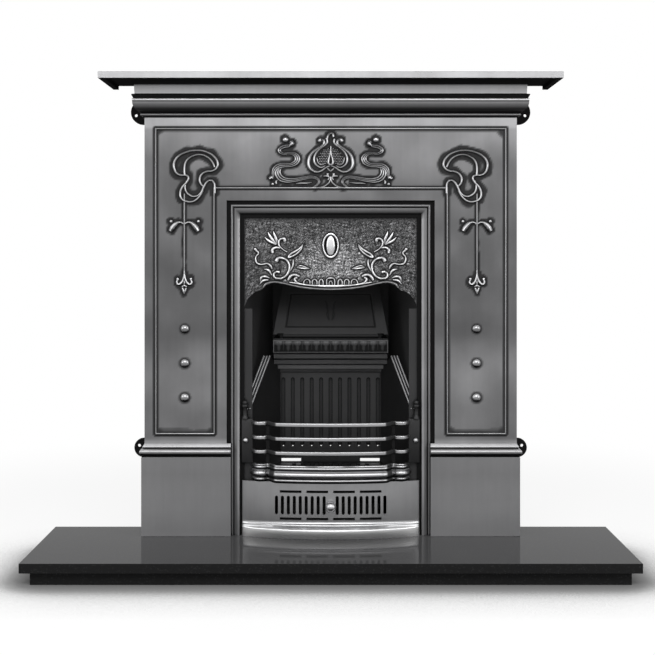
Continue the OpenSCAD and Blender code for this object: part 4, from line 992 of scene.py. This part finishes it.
def rail_profile():
    """The rail's outline from its top to its foot: a fillet, a bead, a torus and a small bead."""
    top = RAIL_TOP
    line = [(-8, top, 0), (-0.6, top, 0), (0.6, top - 1.2, 0), (0.6, top - 2.4, 0.2), (-1.4, top - 3, 1),
            (-1.4, top - 3.5, 1)]
    for across, down, reach, rise, turn in ((-0.8, 7.0, 3.4, 3.4, 20), (-1, 22.2, 7, 7.3, 12),
                                            (-0.6, 35.4, 3, 2.8, 20)):
        line += [(across + reach * sin(radians(a)), top - down + rise * cos(radians(a)), 0)
                 for a in range(20, 161, turn)]
        line += [(-1.4, top - down - rise - 0.3, 1), (-1.4, top - down - rise - 1.8, 1)]
    return line + [(-1.4, RAIL_FOOT, 1), (-8, RAIL_FOOT, 1)]


bm = bmesh.new()
sweep(bm, rail_profile(), [tuple(p) for p in bar_line if p.y > LIP_D + 4 or abs(p.x) < 186])
shade_notches(bm, 136, 150)
piece("moulded_rail", bm, bright_bars, ("bar_rail",))

STANDARD_TOP = RAIL_TOP + 3 * BAR_PITCH + 4
for side, name in ((-1, "left"), (1, "right")):
    bm = bmesh.new()
    block(bm, STANDARD_IN, STANDARD_IN + STANDARD_W, LIP_D, LIP_D + STANDARD_T, RAIL_TOP, STANDARD_TOP)
    block(bm, *SPACER, CANOPY_D, LIP_D + 0.5, BOLT_H - 10, BOLT_H + 10)
    rounded(bm, bm.edges[:], 1.2)
    outline = [(0, -1), (8, -1), (8, 4), (6, 6.5), (5.2, 9), (5.8, 17), (5.2, 25), (7.5, 28), (8.2, 31),
               (7, 34), (4, 35)] + globe(BALL_R, 38.5, 45, 15)
    turned(bm, outline, at(KNOB_X, LIP_D + STANDARD_T / 2, STANDARD_TOP), forward=False, steps=24)
    bmesh.ops.bisect_plane(bm, geom=everything(bm), plane_co=at(0, LIP_D, 0), plane_no=(0, 1, 0))
    bmesh.ops.scale(bm, verts=bm.verts, vec=(side, 1, 1))
    piece(name + "_turned_standard", bm, black, (name + "_standard",))

steel = iron("bright steel", 0.5, 0.02, 0.38, reach=3.0, grain=0.03, worn=(0.2, 0.6), underside_shade=0.5, ledge_light=0.2)
bm = bmesh.new()
for x in (-BOLT_X, BOLT_X):
    turned(bm, [(0, -22), (4, -22), (4, 1), (6.1, 1.2)] + globe(BALL_R, 2, 90, 15),
           at(x, LIP_D + STANDARD_T, BOLT_H), steps=24)
piece("ball_bolts", bm, steel, ("standard_bolts",))

# ---------------------------------------------------------------- ash pit
# A bowed satin cover with air slots stands under the rail, on a rounded foot lip.
# Its air slide runs in guides behind it, moved by a steel knob.

COVER_HW, COVER_END, COVER_BOW, COVER_T, COVER_H = 214, 98.5, 28.5, 6, 133
SLOT_MID, SLOT_H, SLOT_W, SLOT_PITCH = 77.5, 45, 7.6, 14.3
SLIT_XS, SLIT_UP, SLIT_HW, SLIT_HH = (-96, -32, 32, 96), 32.5, 26, 3    # the long slits over and under
KNOB_H, KNOB_R = 75.5, 13
COVER_XS = [COVER_HW * sin(radians(90 * i / 48)) for i in range(-48, 49)]
SAW_D, SAW_DEPTH = 60, 110                  # what cuts the slots reaches through the cover


def bow(x):
    """How far the cover stands out, from 0 at its ends to 1."""
    return max(0.0, 1 - (x / COVER_HW) ** 2) ** 0.75


def carve(name, bm, cutter):
    """Cuts one mesh out of another with a Boolean, and gives the result as a bmesh."""
    holders = [placed(name, mesh_of(name, part)) for part in (bm, cutter)]
    saw = holders[0].modifiers.new("cut", "BOOLEAN")
    saw.object, saw.operation, saw.solver = holders[1], "DIFFERENCE", "EXACT"
    made = solved(holders[0])
    for holder in holders:
        bpy.data.objects.remove(holder)
    return made


def slab(bm, corners, move):
    """Closes corners with a face, and drags it to a slab."""
    face = bm.faces.new([bm.verts.new(corner) for corner in corners])
    bmesh.ops.translate(bm, verts=extruded(bm, [face])[0], vec=move)


cover = bmesh.new()
plan = [(x, COVER_END + COVER_BOW * bow(x)) for x in COVER_XS]
plan += [(x, COVER_END - COVER_T + COVER_BOW * bow(x)) for x in COVER_XS[::-1]]
slab(cover, [at(x, d, 0) for x, d in plan], (0, 0, COVER_H * MM))
bmesh.ops.recalc_face_normals(cover, faces=cover.faces)
saws = bmesh.new()
for i in range(9):
    for side in (-1, 1):
        x, r = side * (i + 1.1) * SLOT_PITCH, SLOT_W / 2
        h = SLOT_H / 2 - r
        ends = arc(x, SLOT_MID + h, r, 0, 180, 8) + arc(x, SLOT_MID - h, r, 180, 360, 8)
        slab(saws, [at(a, SAW_D, b) for a, b in ends], (0, -SAW_DEPTH * MM, 0))
for x in SLIT_XS:
    for h in (SLOT_MID - SLIT_UP, SLOT_MID + SLIT_UP):
        block(saws, x - SLIT_HW, x + SLIT_HW, SAW_D, SAW_D + SAW_DEPTH, h - SLIT_HH, h + SLIT_HH)
block(saws, -4.5, 4.5 + SLOT_PITCH / 2, SAW_D, SAW_D + SAW_DEPTH, KNOB_H - 4.5, KNOB_H + 4.5)
bmesh.ops.recalc_face_normals(saws, faces=saws.faces)
bm = carve("cover", cover, saws)

FOOT_OUT, FOOT_MIN, FOOT_MORE = 22, 4, 18   # the foot lip: drawn, at its ends, and more in the middle
# the lip's front face and its rounded top edge are painted lighter, a painted light
foot = [(-1, 0, 1), (21.4, 0, 0), (FOOT_OUT, 0.8, -2), (FOOT_OUT, 18, -2)]
foot += [(x, up, -0.4) for x, up in arc(19, 20, 3, 8, 74, 5)] + [(15, 24.4, 0), (11, 26, 0), (8, 28, 0)]
foot += [(x, up, 0) for x, up in arc(4.8, 29, 3.2, 10, 100, 5)]
foot += [(2, 33.2, 0), (0.8, 35, 0), (0.3, 38, 0), (-1, 38, 0)]


def foot_ring(verts, x, out, up):
    """Places the lip's outline, which stands out less towards the cover's ends."""
    for v in verts:
        reach = v[out] / FOOT_OUT * (FOOT_MIN + FOOT_MORE * bow(x)) if v[out] > 0 else v[out]
        v.co = at(x, COVER_END + COVER_BOW * bow(x) + reach, v[up])


pulled(bm, foot, COVER_XS, foot_ring)
satin = iron("satin iron", 0.35, 0.01, 0.33, reach=3.0, grain=0.2, worn=(0.2, 0.7), ledge_light=1.6)
piece("bowed_ash_cover", bm, satin, ("ash_cover",), body="cover")

bm = bmesh.new()
start = COVER_END + COVER_BOW - COVER_T - 1.5
reach = COVER_END + COVER_BOW + 0.5 + 0.8 * KNOB_R - start
turned(bm, [(0, 0.05), (4, 0.05), (4, reach - 11), (8, reach - 10.4)] + globe(KNOB_R, reach, 40, 10),
       at(0, start, KNOB_H))
piece("turned_knob", bm, steel, ("air_knob",), body="slide")

# ---------------------------------------------------------------- damper flap
# A leaning cast door over the fire, hinged on a pin along its foot. A groove frames its field,
# which has a small motif of two stems, and pockets in its back clear the lugs of the cap.

LEAN, PIVOT_D, PIVOT_H = radians(27), 8, 478
FLAP_FOOT, FLAP_TOP, FLAP_BACK, FLAP_FACE = -2.5, 165, 2, 10
FLAP_FIELD = [(-111, 18.5), (-100, 107), (100, 107), (111, 18.5)]
STEM = [(4, 38), (8, 46), (9.5, 54), (7, 62), (9.5, 71), (8, 79), (12, 87), (8, 79)]
GROOVE, BARREL_R, PIN_HOLE_R, BARREL_HW = 1.6, 7.5, 4.1, 117.5
POCKET, POCKET_TOP, POCKET_OUT, POCKET_FOOT = (115.5, 132.5), 13.5, 7, 0.4
FLAP_HW, FLAP_TAPER = 142, 25


def leaning(x, out, up):
    """A point of the flap, across, out of and up it from its pin."""
    return at(x, PIVOT_D + out * cos(LEAN) - up * sin(LEAN), PIVOT_H + out * sin(LEAN) + up * cos(LEAN))


bm = bmesh.new()
bmesh.ops.create_grid(bm, x_segments=190, y_segments=110, size=0.5)
lead_and_painted_light, out, up = (layer(bm, name) for name in ("lead_and_painted_light", "out", "up"))
for v in bm.verts:
    share = v.co.y + 0.5
    v[up] = FLAP_FOOT + (FLAP_TOP - FLAP_FOOT) * share
    v[out] = 2 * v.co.x * (FLAP_HW - FLAP_TAPER * share)
back = set(extruded(bm, bm.faces[:])[0])
for v in bm.verts:
    x, h = v[out], v[up]
    pocket = POCKET[0] < abs(x) < POCKET[1] and h < POCKET_TOP
    rise = max(h, POCKET_FOOT) if pocket else h
    if v in back:
        v.co = leaning(x, POCKET_OUT if pocket else FLAP_BACK + 2.4 * smooth(5, 7, h), rise)
        v[lead_and_painted_light] = 1
    else:
        frame_line = line_distance(x, h, FLAP_FIELD)
        stem = line_distance(abs(x), h, STEM)
        cut = max(smooth(0.8, 2.6, frame_line), 0.7 * smooth(0.8, 2.4, stem))
        v.co = leaning(x, FLAP_FACE - GROOVE * cut, rise)
        v[lead_and_painted_light] = max(0.95 * cut, 0.2 if abs(x) < 111 and 18 < h < 107 and frame_line > 2 else 0)
end = at(-BARREL_HW, PIVOT_D, PIVOT_H)
barrel = washer(bm, ((end, BARREL_R), (end, PIN_HOLE_R)), Matrix.Rotation(pi / 2, 3, "Y"), 32)[2]
bmesh.ops.translate(bm, verts=extruded(bm, barrel)[0], vec=(2 * BARREL_HW * MM, 0, 0))


def leaded(name, face, gloss, hollow=0.012, reach=2.0, grain=0.3, worn=(0.2, 0.7), **more):
    """Iron with no painted shade on its undersides and no painted light on its ledges."""
    return iron(name, face, hollow, gloss, reach, grain, worn, underside_shade=1.0, ledge_light=0.0, **more)


flap_iron = leaded("flap iron", 0.04, 0.62, reach=1.0, worn=(0.35, 0.85))
piece("framed_damper_flap", bm, flap_iron, ("damper_flap",), body="damper")

# ---------------------------------------------------------------- fireback dressings
# A band of hanging leaves runs along the front of the fireback's cap, and three reeds lie
# along the sloping edge of each cheek.

BAND_D, BAND_FOOT, BAND_TOP, BAND_HW, LEAF_PITCH = 20, 436, 465.5, 140.5, 23.4

bm = bmesh.new()
bmesh.ops.create_grid(bm, x_segments=260, y_segments=28, size=0.5)
lead_and_painted_light = layer(bm, "lead_and_painted_light")
for v in bm.verts:
    x, share = 2 * BAND_HW * v.co.x, v.co.y + 0.5
    across = (x / LEAF_PITCH) % 1 - 0.5
    lobe = 0.8 + 0.2 * cos(across * 38)
    leaf = lobe * max(0.0, 1 - (across / 0.42) ** 2 - ((share - 0.78) / 0.3) ** 2) ** 0.5
    leaf = max(leaf, 0.7 * max(0.0, 1 - (across / 0.22) ** 2 - ((share - 0.4) / 0.36) ** 2) ** 0.5)
    dart = max(0.0, 1 - abs(abs(across) - 0.5) / 0.1 - max(0, 0.25 - share) * 3) * (0.55 + 0.3 * share)
    rim = max(smooth(0.03, 0.06, share), smooth(0.04, 0.08, 1 - share))
    rise = max(leaf, dart, rim)
    v.co = at(x, BAND_D + 0.6 + 2.2 * rise, BAND_FOOT + (BAND_TOP - BAND_FOOT) * share)
    # raised parts are polished lighter, and the band's upper part is painted lighter still, a painted
    # highlight
    v[lead_and_painted_light] = min(1, max(-0.6, 1.25 - 0.95 * rise - 0.8 * smooth(0.1, 0.5, 1 - share)))
backed(bm, BAND_D - 0.5)
leaf_iron = leaded("leaf band iron", 0.08, 0.45)
piece("leaf_band", bm, leaf_iron)

# each cheek's edge runs down from (across, out, up) to another such point
SLOPE_TOP, SLOPE_FOOT, REED_R, REED_PITCH = (148, 0, 424), (193, 86, 302), 3.2, 7.2
reeds = [(0, -3, 1), (0, 1, 1)]
for i in range(3):
    reeds += [(a, b, 1.2 - b / 2.4) for a, b in arc(3.6 + REED_PITCH * i, 1, REED_R, 180, 0, 8)]
reeds += [(3 * REED_PITCH, 1, 1), (3 * REED_PITCH, -3, 1)]
run, drop = SLOPE_FOOT[1] - SLOPE_TOP[1], SLOPE_TOP[2] - SLOPE_FOOT[2]
facing = Vector((0, drop, run)).normalized()
reed_iron = leaded("reeded iron", 0.15, 0.4)
for side, name in ((-1, "left"), (1, "right")):
    bm = bmesh.new()

    def slope(share, across, up):
        """A point along a cheek's edge, across it and up from it."""
        x, d, h = Vector(SLOPE_TOP).lerp(Vector(SLOPE_FOOT), share) + facing * up
        return at(side * (x + across), d, h)

    sweep(bm, reeds, [(0, 0), (1, 0)], lay=slope)
    piece(name + "_cheek_reeds", bm, reed_iron)

# ---------------------------------------------------------------- firebox castings
# The plain castings of the firebox, the fasteners and the ash pan are seen as they are.
# They are black-leaded, oiled or painted.

dark_steel = iron("oiled steel", 0.05, 0.01, 0.4, reach=3.0)
pan_paint = iron("black sheet", 0.04, 0.02, 0.5, reach=3.0)
smoky = leaded("smoked iron", 0.06, 0.7, 0.008, reach=8.0, grain=0.5, worn=(0.35, 0.85))
# the cap is painted lighter than the other firebox iron, a painted light that makes up for the shade its
# stepped ledges cast on one another
cap_iron = leaded("cap iron", 0.13, 0.5, black_above=469)
cheek_iron = leaded("cheek iron", 0.045, 0.6, 0.01, reach=5.0, grain=0.5, worn=(0.35, 0.85))
fluted = leaded("fluted iron", 0.05, 0.5, 0.006, reach=9.0, grain=0.4, worn=(0.4, 1.0))
slots = {p["node"]: p["material_slot"] for p in frame["record"]["subparts"]}
finishes = {"cast_black": black, "dark_steel": dark_steel, "pan_steel": pan_paint}
by_node = {"left_wall": smoky, "right_wall": smoky, "smoke_back": smoky, "air_slide": sooty,
           "slide_guides": sooty, "damper_pin": sooty, "left_cheek": cheek_iron, "right_cheek": cheek_iron,
           "fireback": fluted, "fireback_cap": cap_iron}
for name, node in frame["nodes"].items():
    node.data.materials.clear()
    node.data.materials.append(by_node.get(name) or finishes.get(slots[name], front_iron))
